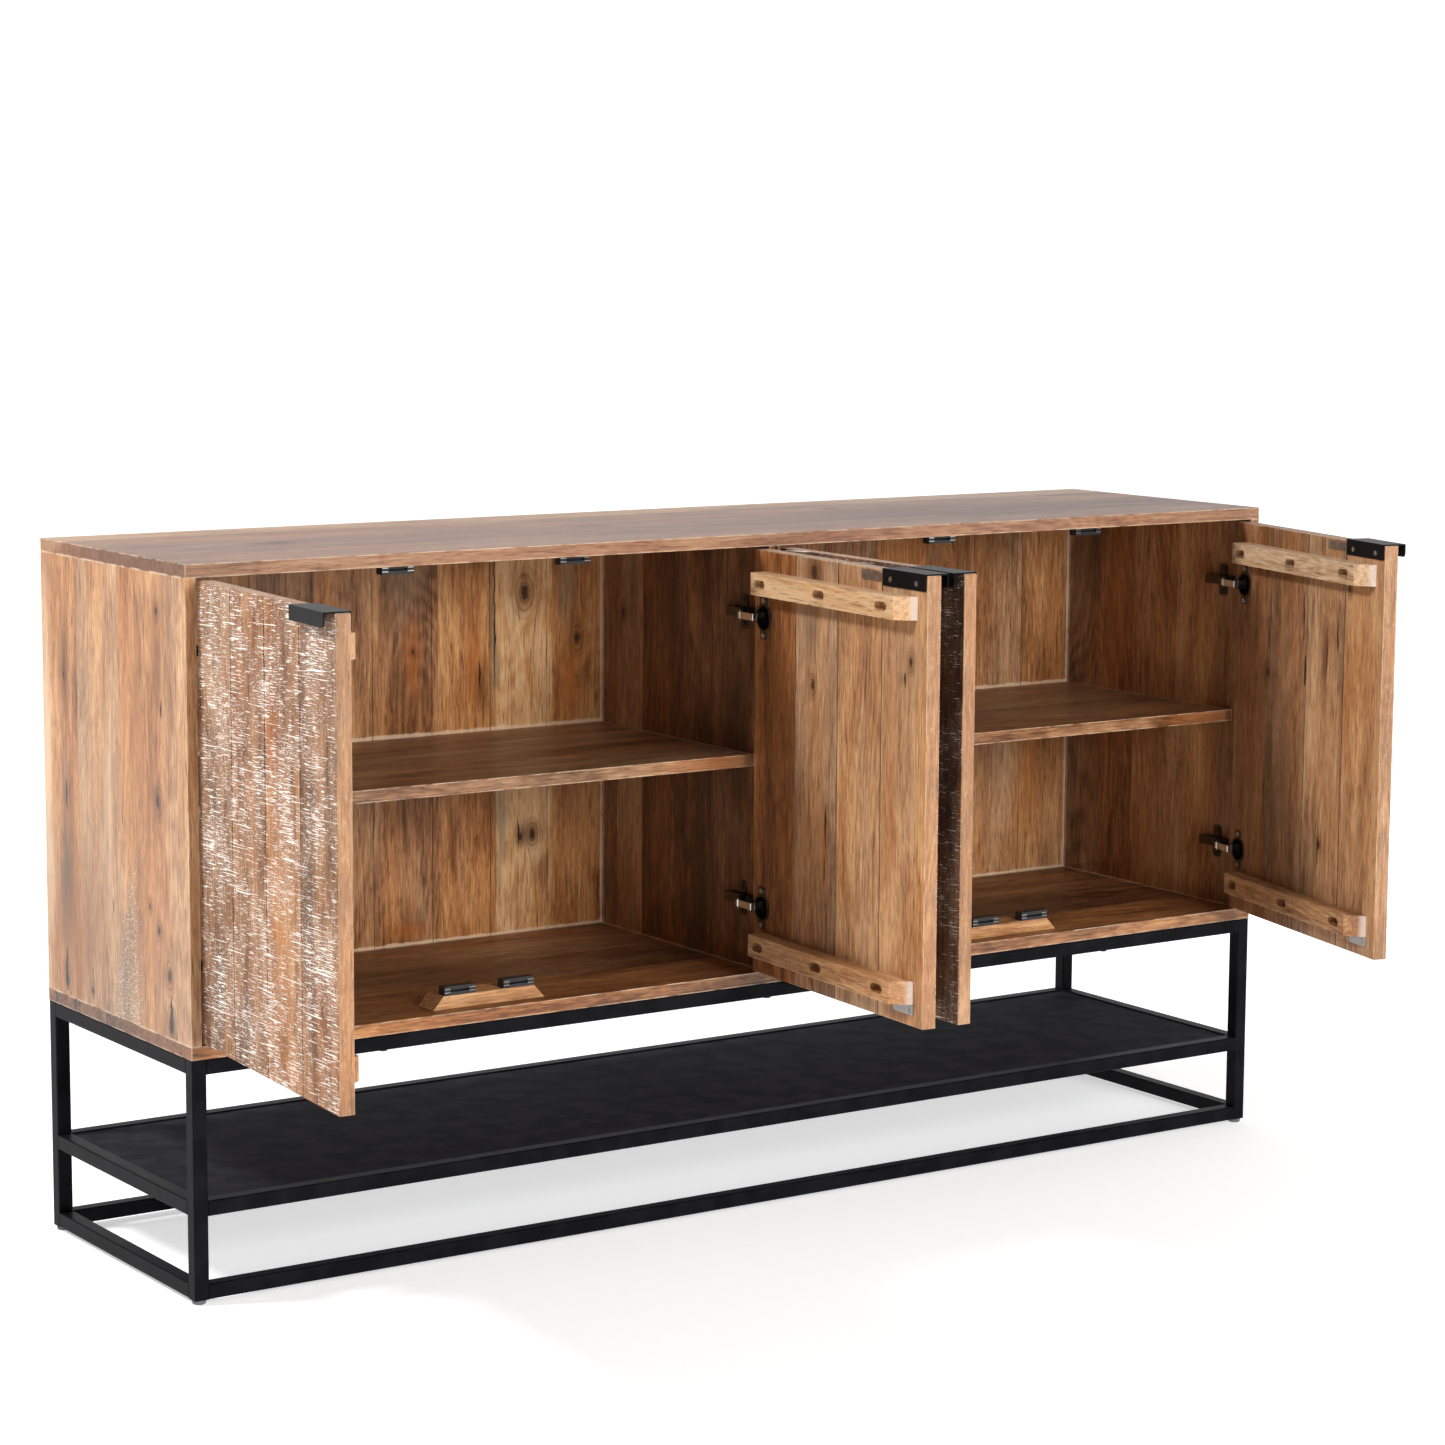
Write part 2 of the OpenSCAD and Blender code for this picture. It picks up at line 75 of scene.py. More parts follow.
# Strength of the room's light, and of the white backdrop behind the object
ROOM_LIGHT = 0.20
BACKDROP_LIGHT = 1.05
# Where the backdrop starts and where it is full, as cosines with the camera's heading
BACKDROP_EDGE = (0.3, 0.8)
LIT_POINT = (0.0, -0.1, 0.6)
KEY_AT = (-3.6, 1.2, 3.9)
KEY_SIZE = 1.0
KEY_POWER = 195.0
FRONT_AT = (0.05, -5.2, 1.95)
FRONT_SIZE = 2.0
FRONT_POWER = 235.0
FLOOR_SIDE = 40.0
# Glow of the floor near the object and far away, and the distances between which it rises
FLOOR_GLOW = 0.50
HORIZON_GLOW = 0.85
GLOW_RISE = (0.9, 3.0)


def make_camera():
    """A long lens from the front left, a little above the top, slightly rolled."""
    forward = Vector((
        math.sin(CAMERA_YAW) * math.cos(CAMERA_PITCH),
        math.cos(CAMERA_YAW) * math.cos(CAMERA_PITCH),
        -math.sin(CAMERA_PITCH),
    ))
    level = Vector((math.cos(CAMERA_YAW), -math.sin(CAMERA_YAW), 0.0))
    above = level.cross(forward)
    right = level * math.cos(CAMERA_ROLL) + above * math.sin(CAMERA_ROLL)
    up = above * math.cos(CAMERA_ROLL) - level * math.sin(CAMERA_ROLL)
    camera = add_object("camera", bpy.data.cameras.new("camera"))
    turn = Matrix((right, up, -forward)).transposed().to_4x4()
    camera.matrix_world = Matrix.Translation(CAMERA_AT) @ turn
    camera.data.lens = CAMERA_LENS
    camera.data.sensor_width = SENSOR
    camera.data.clip_end = 100.0
    bpy.context.scene.camera = camera


def make_light(name, place, size, energy, mirrored):
    """A round lamp aimed at the object. One that isn't mirrored shows in no reflection."""
    data = bpy.data.lights.new(name, "AREA")
    data.shape = "DISK"
    data.size = size
    data.energy = energy
    light = add_object(name, data)
    light.location = place
    light.rotation_mode = "QUATERNION"
    light.rotation_quaternion = (Vector(LIT_POINT) - Vector(place)).to_track_quat("-Z", "Y")
    light.visible_glossy = mirrored


def make_world():
    """A studio that lights the object from behind and dimly from elsewhere, and shows as white."""
    world = bpy.data.worlds.new("studio")
    paint = Paint("studio", owner=world)
    heading = (math.sin(CAMERA_YAW), math.cos(CAMERA_YAW), 0.0)
    inputs = {0: paint.get("ShaderNodeTexCoord", output="Generated"), 1: heading}
    along = paint.get("ShaderNodeVectorMath", inputs, "Value", operation="DOT_PRODUCT")
    share = paint.step(along, *BACKDROP_EDGE, ROOM_LIGHT, BACKDROP_LIGHT)
    seen = paint.get("ShaderNodeLightPath", output="Is Camera Ray")
    strength = paint.math("MAXIMUM", share, seen * BACKDROP_LIGHT)
    shader = paint.get("ShaderNodeBackground", {"Color": (1, 1, 1), "Strength": strength})
    paint.add("ShaderNodeOutputWorld", {"Surface": shader})
    bpy.context.scene.world = world
    bpy.context.scene.view_settings.view_transform = "Standard"


def make_floor():
    """A pale floor that glows a little, and more towards the horizon, so that it meets the backdrop."""
    half = FLOOR_SIDE / 2
    corners = [(x * half, y * half, 0.0) for x, y in ((-1, -1), (1, -1), (1, 1), (-1, 1))]
    floor = add_mesh("floor", corners, [(0, 1, 2, 3)])
    paint = Paint("pale_floor")
    speckle = paint.noise(paint.place, 60.0, 3.0)
    shade = paint.mix(speckle, (0.86, 0.86, 0.86), (0.90, 0.90, 0.90))
    floor.data.materials.append(paint.finish(shade, 0.8, speckle, 0.02, sheen=0.1))
    shader = floor.data.materials[0].node_tree.nodes["Principled BSDF"]
    distance = paint.get("ShaderNodeVectorMath", {0: paint.place}, "Value", operation="LENGTH")
    shader.inputs["Emission Color"].default_value = (1, 1, 1, 1)
    rise = paint.step(distance, *GLOW_RISE) * (HORIZON_GLOW - FLOOR_GLOW)
    paint.feed(shader.inputs["Emission Strength"], FLOOR_GLOW + rise)


def make_studio():
    """White paper behind and below, a high key light on the left and a lower one in front."""
    make_world()
    make_floor()
    make_light("key", KEY_AT, KEY_SIZE, KEY_POWER, mirrored=True)
    make_light("front", FRONT_AT, FRONT_SIZE, FRONT_POWER, mirrored=False)


# ---------- materials ----------


def srgb(text):
    """Linear colour of a hex screen colour."""
    parts = [int(text[i : i + 2], 16) / 255 for i in (1, 3, 5)]
    return tuple(c / 12.92 if c <= 0.04045 else ((c + 0.055) / 1.055) ** 2.4 for c in parts)


class Value:
    """One output of a node. Sums and products with it are made by math nodes."""

    def __init__(self, paint, socket):
        self.paint = paint
        self.socket = socket

    def __abs__(self):
        return self.paint.math("ABSOLUTE", self)

    def __add__(self, other):
        return self.paint.math("ADD", self, other)

    def __radd__(self, other):
        return self.paint.math("ADD", other, self)

    def __sub__(self, other):
        return self.paint.math("SUBTRACT", self, other)

    def __rsub__(self, other):
        return self.paint.math("SUBTRACT", other, self)

    def __mul__(self, other):
        return self.paint.math("MULTIPLY", self, other)

    def __truediv__(self, other):
        return self.paint.math("DIVIDE", self, other)


class Paint:
    """Builds a node tree. Its methods take values or numbers, and return values.

    With a door, the places it reads are those of the closed door, from its hinge corner.
    """

    def __init__(self, name, door=None, owner=None):
        self.material = owner or bpy.data.materials.new(name)
        self.material.use_nodes = True
        self.tree = self.material.node_tree
        self.tree.nodes.clear()
        self.place = self.get("ShaderNodeTexCoord", output="Object")
        self.facing = self.get("ShaderNodeTexCoord", output="Normal")
        if door:
            turn = {"Rotation": (0, 0, door.turn)}
            spot = {"Vector": self.place, "Location": door.hinge, **turn}
            self.place = self.get("ShaderNodeMapping", spot, vector_type="TEXTURE")
            way = {"Vector": self.facing, **turn}
            self.facing = self.get("ShaderNodeMapping", way, vector_type="TEXTURE")
        self.axis = dict(zip("XYZ", self.split("XYZ", self.place)))
        self.face = dict(zip("XYZ", self.split("XYZ", self.facing)))

    def add(self, kind, inputs=None, **settings):
        """A new node with its settings, its inputs fed by name or number."""
        node = self.tree.nodes.new(kind)
        for key, value in settings.items():
            setattr(node, key, value)
        for key, value in (inputs or {}).items():
            self.feed(node.inputs[key], value)
        return node

    def get(self, kind, inputs=None, output=0, **settings):
        """The value that one output of a new node gives."""
        return Value(self, self.add(kind, inputs, **settings).outputs[output])

    def feed(self, socket, value):
        """Links a socket to a value, or gives it a plain number or colour."""
        if isinstance(value, Value):
            self.tree.links.new(value.socket, socket)
        elif socket.type == "RGBA":
            socket.default_value = (*value[:3], 1.0)
        else:
            socket.default_value = value

    def math(self, operation, *values, clamp=False):
        inputs = dict(enumerate(values))
        return self.get("ShaderNodeMath", inputs, operation=operation, use_clamp=clamp)

    def split(self, parts, whole):
        """The three numbers of a vector, with parts as XYZ, or of a colour, as Color."""
        return [Value(self, out) for out in self.add(f"ShaderNodeSeparate{parts}", {0: whole}).outputs]

    def join(self, x, y, z):
        return self.get("ShaderNodeCombineXYZ", {0: x, 1: y, 2: z})

    def scaled(self, vector, scale):
        return self.get("ShaderNodeVectorMath", {0: vector, 1: scale}, operation="MULTIPLY")

    def moved(self, vector, amount):
        return self.get("ShaderNodeVectorMath", {0: vector, 1: amount}, operation="ADD")

    def noise(self, vector, scale, detail=2.0, rough=0.5, bend=0.0):
        """Noise from 0 to 1, with about scale cells to a metre."""
        return self.get("ShaderNodeTexNoise", {
            "Vector": vector, "Scale": scale, "Detail": detail, "Roughness": rough, "Distortion": bend,
        })

    def step(self, value, low, high, start=0.0, end=1.0):
        """start below low, end above high and smooth between; high below low turns it round."""
        return self.get("ShaderNodeMapRange", {
            "Value": value, "From Min": low, "From Max": high, "To Min": start, "To Max": end,
        }, interpolation_type="SMOOTHSTEP")

    def mix(self, factor, a, b, blend="MIX"):
        """Colour a with a share of b mixed in. The numbers are those of the node's sockets."""
        inputs = {0: factor, 6: a, 7: b}
        return self.get("ShaderNodeMix", inputs, 2, data_type="RGBA", blend_type=blend)

    def ramp(self, value, colours, spots=None, kind="LINEAR"):
        """A colour for value from 0 to 1. Without spots, the colours lie evenly."""
        node = self.add("ShaderNodeValToRGB", {0: value})
        bar = node.color_ramp
        bar.interpolation = kind
        count = len(colours)
        spots = spots or [i / (count - 1) for i in range(count)]
        while len(bar.elements) < count:
            bar.elements.new(0.5)
        for element, spot, colour in zip(bar.elements, spots, colours):
            element.position = spot
            element.color = (*colour, 1.0)
        return Value(self, node.outputs[0])

    def finish(self, colour, rough, height=None, depth=0.0, metal=0.0, sheen=0.5):
        """The shader. metal and sheen (specular level) are plain numbers, and depth is in mm."""
        shader = self.add("ShaderNodeBsdfPrincipled", {"Base Color": colour, "Roughness": rough})
        shader.inputs["Metallic"].default_value = metal
        shader.inputs["Specular IOR Level"].default_value = sheen
        if height is not None:
            bump = self.get("ShaderNodeBump", {"Height": height, "Distance": depth * MM})
            self.feed(shader.inputs["Normal"], bump)
        self.add("ShaderNodeOutputMaterial", {0: Value(self, shader.outputs[0])})
        return self.material


def second_smallest(paint, a, b, c):
    """The middle one of three values."""
    low, high = paint.math("MINIMUM", a, b), paint.math("MAXIMUM", a, b)
    return paint.math("MAXIMUM", low, paint.math("MINIMUM", high, c))


def edge_distance(paint, low, high):
    """Distance from a point on a box-shaped board to the board's nearest edge."""
    gaps = []
    for letter, start, end in zip("XYZ", low, high):
        place = paint.axis[letter]
        gaps.append(paint.math("MINIMUM", place - start, end - place))
    return second_smallest(paint, *gaps)


# Wood colours from dark to light: a cool, greyish set and a warm, orange one
COOL = [srgb(c) for c in ("#2E1B10", "#553B29", "#7E5E45", "#A17E60", "#BF9C7A", "#D3B593")]
WARM = [srgb(c) for c in ("#2F180C", "#62381C", "#8D572E", "#B07645", "#C99560", "#DCB080")]
KNOT = srgb("#2A170D")
CRACK = srgb("#120A06")
WORN = srgb("#DCC4A8")
CHALK = srgb("#EFE5DB")
DARK = srgb("#331C0F")
ORANGE = srgb("#A65C28")
GREY = srgb("#6E6455")
PALE = srgb("#E2C9AA")
# A mauve tint laid over the whole top: painted sheen of the white backdrop
PAINTED_SHEEN_MAUVE = srgb("#7A5751")
OLIVE = srgb("#5F4E3A")
# What darkens end grain, and the colours of sawn edges, their streaks and their ends
END_TINT = srgb("#A98D78")
SAWN_EDGE = srgb("#A98468")
SAWN_STREAK = srgb("#7A6252")
SAWN_END = srgb("#CDB9AA")
# The thin film of filler between the saw marks, and how much it covers
VEIL = srgb("#C4AE9C")
VEIL_SHARE = 0.30
# How strong a saw mark has to be to hold filler: door 3 holds the least, as painted shade where door 2
# shades it
CHALK_START = {1: 0.752, 2: 0.752, 3: 0.795, 4: 0.752}
# How much the saw marks rise across the board
SAW_SLOPE = 0.045
# The saw marks' cells to a metre across the board and up it, their detail and their roughness
SPECKS = (230.0, 640.0, 3.0, 0.75)
DASHES = (40.0, 700.0, 2.0, 0.6)
LINES = (12.0, 420.0, 2.0, 0.5)
# How much noise is drawn out along the grain: 1 is not at all, and smaller is longer
FIGURE_STRETCH = 0.22
RING_STRETCH = 0.13
STREAK_STRETCH = 0.10
FIBRE_STRETCH = 0.05
THREAD_STRETCH = 0.02


class Grain:
    """The figure and the marks of one part's wood, with places and sizes in metres.

    along and across are the axes of the grain and of the boards. Each board is (where it starts
    across, tone, warmth), and the first one always starts at the part's edge. Each knot is
    (across, along, radius), each crack (across, along, length, width), each smudge (colour,
    across, along, half width, half length, strength) and each line of dust (axis, place, width).
    seam is half the width of the dark line between boards. patch is a rough-sawn triangle: its
    tip across and along, its foot's left and right end across, and its foot along. inside is
    the (axis, sign) of the only face that dust lies on.
    """

    def __init__(
        self, along, across, boards, knots=(), cracks=(), smudges=(), dust=(),
        seed=0.0, seam=0.0, patch=None, inside=None,
    ):
        self.along = along
        self.across = across
        self.boards = boards
        self.knots = knots
        self.cracks = cracks
        self.smudges = smudges
        self.dust = dust
        self.seed = seed
        self.seam = seam
        self.patch = patch
        self.inside = inside


def stretched(paint, grain, amount, place=None):
    """The place with the grain's direction squeezed, so that noise read there runs with it."""
    scale = [1.0, 1.0, 1.0]
    scale["XYZ".index(grain.along)] = amount
    return paint.scaled(place or paint.place, scale)


def bent_round_knots(paint, grain):
    """The place with the fibres parted round each knot."""
    shift = 0.0
    for at_across, at_along, radius in grain.knots:
        reach = oval(paint, grain, at_across, at_along, radius, radius * 3.0, 0.0)
        shift = shift + (at_across - paint.axis[grain.across]) * paint.step(reach, 5.0, 0.0)
    parts = [0.0, 0.0, 0.0]
    parts["XYZ".index(grain.across)] = shift
    return paint.moved(paint.place, paint.join(*parts)) if grain.knots else paint.place


def board_values(paint, grain, low, high):
    """Tone, warmth and a random shift of the board that a point is on."""
    index = "XYZ".index(grain.across)
    start, end = low[index], high[index]
    span = end - start
    where = paint.math("DIVIDE", paint.axis[grain.across] - start, span, clamp=True)
    rng = np.random.default_rng(int(grain.seed * 10) + 5)
    spots = [max(0.0, min(1.0, (b[0] - start) / span)) for b in grain.boards]
    spots[0] = 0.0
    colours = [(b[1], b[2], float(rng.random())) for b in grain.boards]
    if len(colours) == 1:
        spots, colours = [0.0, 1.0], colours * 2
    return paint.split("Color", paint.ramp(where, colours, spots, "CONSTANT"))


def oval(paint, grain, at_across, at_along, half_across, half_along, wander):
    """How far a point is from the middle of an oval: 1 on its rim."""
    across = (paint.axis[grain.across] - at_across + wander) / half_across
    along = (paint.axis[grain.along] - at_along) / half_along
    return paint.math("SQRT", across * across + along * along)


def drift(paint, place, scale, detail, rough, span):
    """A small wandering shift, up to about half of span each way."""
    return (paint.noise(place, scale, detail, rough) - 0.5) * span


def add_smudges(paint, grain, colour):
    """Soft stains that follow the grain."""
    wander = drift(paint, stretched(paint, grain, 0.3), 22.0, 3.0, 0.6, 50 * MM)
    for stain, at_across, at_along, half_across, half_along, strength in grain.smudges:
        reach = oval(paint, grain, at_across, at_along, half_across, half_along, wander)
        inside = paint.step(reach, 1.35, 0.1) * strength
        colour = paint.mix(inside, colour, stain)
    return colour


def add_knots(paint, grain, colour, height):
    """Small dark knots in a browner, ringed stain drawn out along the grain."""
    wander = drift(paint, paint.place, 130.0, 4.0, 0.6, 8 * MM)
    for at_across, at_along, radius in grain.knots:
        reach = oval(paint, grain, at_across, at_along, radius, radius * 1.7, wander)
        stain = paint.step(reach, 4.5, 0.8)
        rings = paint.step(paint.math("SINE", reach * 6.5), 0.2, 0.95)
        core = paint.step(reach, 1.15, 0.7)
        colour = paint.mix(stain * 0.45, colour, WARM[1])
        colour = paint.mix(rings * stain * 0.5, colour, WARM[0])
        colour = paint.mix(core * 0.88, colour, KNOT)
        height = height - core * 2.0
    return colour, height


def add_cracks(paint, grain, colour, height):
    """Thin dark lenses along the grain that wander a little."""
    along = paint.axis[grain.along]
    wander = drift(paint, stretched(paint, grain, 0.6), 70.0, 2.0, 0.5, 8 * MM)
    for at_across, at_along, length, width in grain.cracks:
        share = (along - at_along) / (length / 2)
        half = (1.0 - share * share) * (width / 2)
        offset = abs(paint.axis[grain.across] - at_across + wander)
        inside = paint.step(half - offset, -0.3 * MM, 0.3 * MM)
        around = paint.step(half * 3.0 - offset, 0.0, width)
        colour = paint.mix(around * 0.45, colour, WARM[0])
        colour = paint.mix(inside, colour, CRACK)
        height = height - inside * 5.0
    return colour, height


def add_seams(paint, grain, colour, height):
    """Thin dark lines where one board meets the next."""
    for start, *_ in grain.boards[1:]:
        gap = abs(paint.axis[grain.across] - start)
        inside = paint.step(gap, grain.seam * 1.5, grain.seam * 0.6)
        colour = paint.mix(inside * 0.8, colour, CRACK)
        height = height - inside * 3.0
    return colour, height


def add_patch(paint, grain, colour, height):
    """A long triangle that the planer missed, still rough sawn and holding white filler."""
    tip_across, tip_along, left, right, foot = grain.patch
    down = (tip_along - paint.axis[grain.along]) / (tip_along - foot)
    place = paint.axis[grain.across] - tip_across
    place = place + drift(paint, paint.place, 70.0, 5.0, 0.7, 90 * MM)
    over_left = place - down * (left - tip_across)
    over_right = down * (right - tip_across) - place
    inside = paint.step(paint.math("MINIMUM", over_left, over_right), -8 * MM, 14 * MM)
    inside = inside * paint.step(down, 0.0, 0.3)
    speck = paint.noise(paint.scaled(paint.place, (1.0, 130.0, 520.0)), 1.0, 2.0, 0.6)
    filler = inside * paint.step(speck, 0.52, 0.64)
    colour = paint.mix(inside * 0.35, colour, GREY)
    colour = paint.mix(filler * 0.42, colour, CHALK)
    return colour, height + filler * 2.0


def wood_figure(paint, grain, low, high):
    """The colour, fibre and height of planed wood, before any wear."""
    tone, warmth, shift = board_values(paint, grain, low, high)
    offset = paint.join(shift * 7.0, grain.seed, shift * 3.0)
    place = bent_round_knots(paint, grain)

    def drawn_out(amount):
        return paint.moved(stretched(paint, grain, amount, place), offset)

    slow, fast = drawn_out(FIGURE_STRETCH), drawn_out(FIBRE_STRETCH)
    patches = paint.noise(slow, 11.0, 4.5, 0.6, 1.2) - 0.5
    bands = paint.noise(fast, 30.0, 2.0, 0.5, 0.3) - 0.5
    streaks = paint.noise(drawn_out(STREAK_STRETCH), 105.0, 5.0, 0.70, 0.7)
    dark_lines = paint.step(streaks, 0.44, 0.34)
    contour = paint.noise(drawn_out(RING_STRETCH), 7.0, 2.0, 0.4, 0.6)
    ringed = paint.step(paint.noise(slow, 5.0, 1.0), 0.42, 0.62)
    rings = paint.math("SINE", contour * 230.0) * ringed
    threads = paint.noise(drawn_out(THREAD_STRETCH), 300.0, 3.0, 0.6)
    fibre = paint.noise(fast, 520.0, 3.0, 0.7)
    mottle = paint.noise(slow, 210.0, 3.0, 0.65) - 0.5
    # How much each layer lightens the wood
    layers = (
        (tone, 0.92), (patches, 1.0), (bands, 0.22), (streaks - 0.5, 0.34), (threads - 0.5, 0.40),
        (dark_lines, -0.10), (rings, 0.06), (fibre - 0.5, 0.62), (mottle, 0.50),
    )
    level = 0.04
    for layer, share in layers:
        level = level + layer * share
    slow_change = paint.noise(slow, 6.0, 2.0) - 0.5
    heat = warmth + (slow_change * 1.3 + bands * 0.5)
    colour = paint.mix(paint.step(heat, 0.1, 0.9), paint.ramp(level, COOL), paint.ramp(level, WARM))
    pores = paint.step(paint.noise(paint.moved(fast, (0, 0, 5)), 700.0, 1.0, 0.5), 0.60, 0.68)
    colour = paint.mix(pores * 0.5, colour, KNOT)
    height = fibre * 0.6 - pores * 0.6
    if grain.smudges:
        colour = add_smudges(paint, grain, colour)
    kinds = (
        (grain.patch, add_patch), (grain.knots, add_knots),
        (grain.cracks, add_cracks), (grain.seam, add_seams),
    )
    for marks, add_marks in kinds:
        if marks:
            colour, height = add_marks(paint, grain, colour, height)
    return colour, fibre, height


def add_dust(paint, colour, grain):
    """Filler and wax left where one board meets another."""
    broken = paint.noise(paint.place, 60.0, 3.0, 0.6)
    if grain.inside:
        letter, sign = grain.inside
        broken = broken * paint.step(paint.face[letter] * sign, 0.4, 0.6)
    for letter, at, width in grain.dust:
        gap = abs(paint.axis[letter] - at)
        shown = paint.step(broken * (width * 2) - gap, 0.0, width * 0.6)
        colour = paint.mix(shown * 0.6, colour, WORN)
    return colour


def planed_wood(name, node, grain, rough=0.42, wear=0.6, sheen=0.5, door=None, box=None):
    """Oiled solid wood with grain, knots, pores, end grain and paler, worn edges."""
    paint = Paint(name, door)
    low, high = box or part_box(node)
    colour, fibre, height = wood_figure(paint, grain, low, high)
    end = paint.step(abs(paint.face[grain.along]), 0.6, 0.9)
    colour = paint.mix(end * 0.5, colour, END_TINT, "MULTIPLY")
    colour = add_dust(paint, colour, grain)
    edge = edge_distance(paint, low, high)
    patchy = paint.noise(paint.place, 38.0, 4.0, 0.6)
    worn = paint.step(edge, 2.0 * MM, 0.3 * MM) * paint.step(patchy, 0.36, 0.6)
    colour = paint.mix(worn * wear, colour, WORN)
    shine = rough - 0.08 + fibre * 0.16
    return paint.finish(colour, shine, height, 0.12, sheen=sheen)


def edge_wood(name, door, seed):
    """The doors' sawn edges and ends: pinkish, with grey streaks and a thin white wash."""
    paint = Paint(name)
    grain = Grain("Z", "X", [(door.low.x, 0.56, 0.45)], seed=seed)
    colour, _, height = wood_figure(paint, grain, door.low, door.high)
    colour = paint.mix(0.35, colour, SAWN_EDGE)
    streak = paint.noise(stretched(paint, grain, 0.12), 130.0, 3.0, 0.6, 0.8)
    colour = paint.mix(paint.step(streak, 0.5, 0.68) * 0.45, colour, SAWN_STREAK)
    powder = paint.noise(paint.scaled(paint.place, (1.0, 1.0, 0.5)), 210.0, 4.0, 0.7)
    wash = paint.step(powder, 0.52, 0.66)
    end = paint.step(abs(paint.face["Z"]), 0.5, 0.9)
    cover = 0.1 + end * 0.4
    colour = paint.mix(wash * cover, colour, CHALK)
    colour = paint.mix(end * 0.25, colour, SAWN_END)
    return paint.finish(colour, 0.7, height + wash, 0.2, sheen=0.3)


def sawn_wood(name, door, grain):
    """The doors' outer faces: rough sawn, with white filler left in the saw marks."""
    paint = Paint(name)
    seed = grain.seed
    colour, fibre, height = wood_figure(paint, grain, door.low, door.high)
    x, z = paint.axis["X"], paint.axis["Z"]
    patchy = paint.noise(stretched(paint, grain, 0.4), 55.0, 4.0, 0.65)
    colour = paint.mix(paint.step(patchy, 0.45, 0.7) * 0.4, colour, DARK)
    wander = drift(paint, paint.place, 7.0, 1.0, 0.5, 4 * MM)
    slanted = z - x * (SAW_SLOPE * door.side) + wander

    def marks(across, up, detail, rough):
        spot = paint.join(x * across, seed, slanted * up)
        return paint.noise(spot, 1.0, detail, rough)

    patch = paint.noise(paint.join(x * 16.0, seed, z * 11.0), 1.0, 4.0, 0.65)
    band = paint.noise(paint.join(seed, x * 30.0, z * 0.8), 1.0, 1.5)
    cover = patch * 0.82 + band * 0.18
    speck, dash, line = marks(*SPECKS), marks(*DASHES), marks(*LINES)
    limit = CHALK_START[door.number] - cover * 0.33
    specks = paint.step(speck - limit, -0.01, 0.05)
    dashes = paint.step(dash - limit, 0.0, 0.04)
    lines = paint.step(line - (limit + 0.045), 0.0, 0.03)
    veil = paint.step(cover, 0.36, 0.62) * paint.step(speck, 0.4, 0.6)
    chalk = paint.math("MAXIMUM", specks * 0.65, paint.math("MAXIMUM", dashes, lines))
    colour = paint.mix(veil * VEIL_SHARE, colour, VEIL)
    colour = paint.mix(chalk, colour, CHALK)
    relief = height * 0.4 + (speck + dash * 1.6)
    return paint.finish(colour, 0.62 + fibre * 0.2, relief, 0.5, sheen=0.3)


def powder_coat(name, colour, rough, sheen=0.5):
    """Fine-textured black coating, a little paler on convex edges: partly rubbed wear, partly a painted
    edge highlight.
    """
    paint = Paint(name)
    grit = paint.noise(paint.place, 2600.0, 2.0)
    cloud = paint.noise(paint.place, 24.0, 3.0)
    # Convex edges are paler: rubbed wear and a painted edge highlight
    convex = paint.get("ShaderNodeNewGeometry", output="Pointiness")
    rubbed_and_highlight = paint.step(convex, 0.52, 0.6) * paint.step(cloud, 0.4, 0.6)
    shade = paint.mix(cloud, [c * 0.8 for c in colour], [c * 1.25 for c in colour])
    shade = paint.mix(rubbed_and_highlight * 0.3, shade, [c * 3 for c in colour])
    gloss = rough - 0.06 + cloud * 0.12
    return paint.finish(shade, gloss, grit, 0.03, sheen=sheen)


def plated_steel(name, colour, rough):
    """Plated sheet steel with rolling marks and dull stains."""
    paint = Paint(name)
    streaks = paint.noise(paint.scaled(paint.place, (1.0, 1.0, 9.0)), 260.0, 3.0)
    stains = paint.noise(paint.place, 130.0, 3.0, 0.6)
    shade = paint.mix(paint.step(stains, 0.35, 0.7), [c * 0.72 for c in colour], colour)
    gloss = rough - 0.1 + stains * 0.25
    return paint.finish(shade, gloss, streaks, 0.02, metal=1.0)


def moulded_plastic(name, colour):
    """Moulded plastic with a fine spark-eroded texture."""
    paint = Paint(name)
    grit = paint.noise(paint.place, 1800.0, 2.0)
    cloud = paint.noise(paint.place, 90.0, 2.0)
    shade = paint.mix(cloud, [c * 0.8 for c in colour], [c * 1.2 for c in colour])
    return paint.finish(shade, 0.45 + cloud * 0.1, grit, 0.03)


# ---------- doors ----------

PLANKS = 4
PLANK_GAP = 0.8 * MM
CUP_BORE_R = 17.6 * MM
CUP_BORE_DEPTH = 12.0 * MM
CUP_FROM_EDGE = 24.0 * MM
CUTTER_SIDES = 64
CUTTER_PROUD = 5.0 * MM
# Widths of the mesh's columns and rows, and the rounding of the planks' edges
COLUMN_STEP = 3.0 * MM
ROW_STEP = 1.5 * MM
SIDE_ROUND = 1.0 * MM
INNER_CHAMFER = 0.7 * MM
END_ROUND = 1.0 * MM
# Edges sharper than this are shaded as sharp
SMOOTH_ANGLE = 35.0
LATTICE_CELLS = 128
PLANED, SAWN, EDGE = range(3)


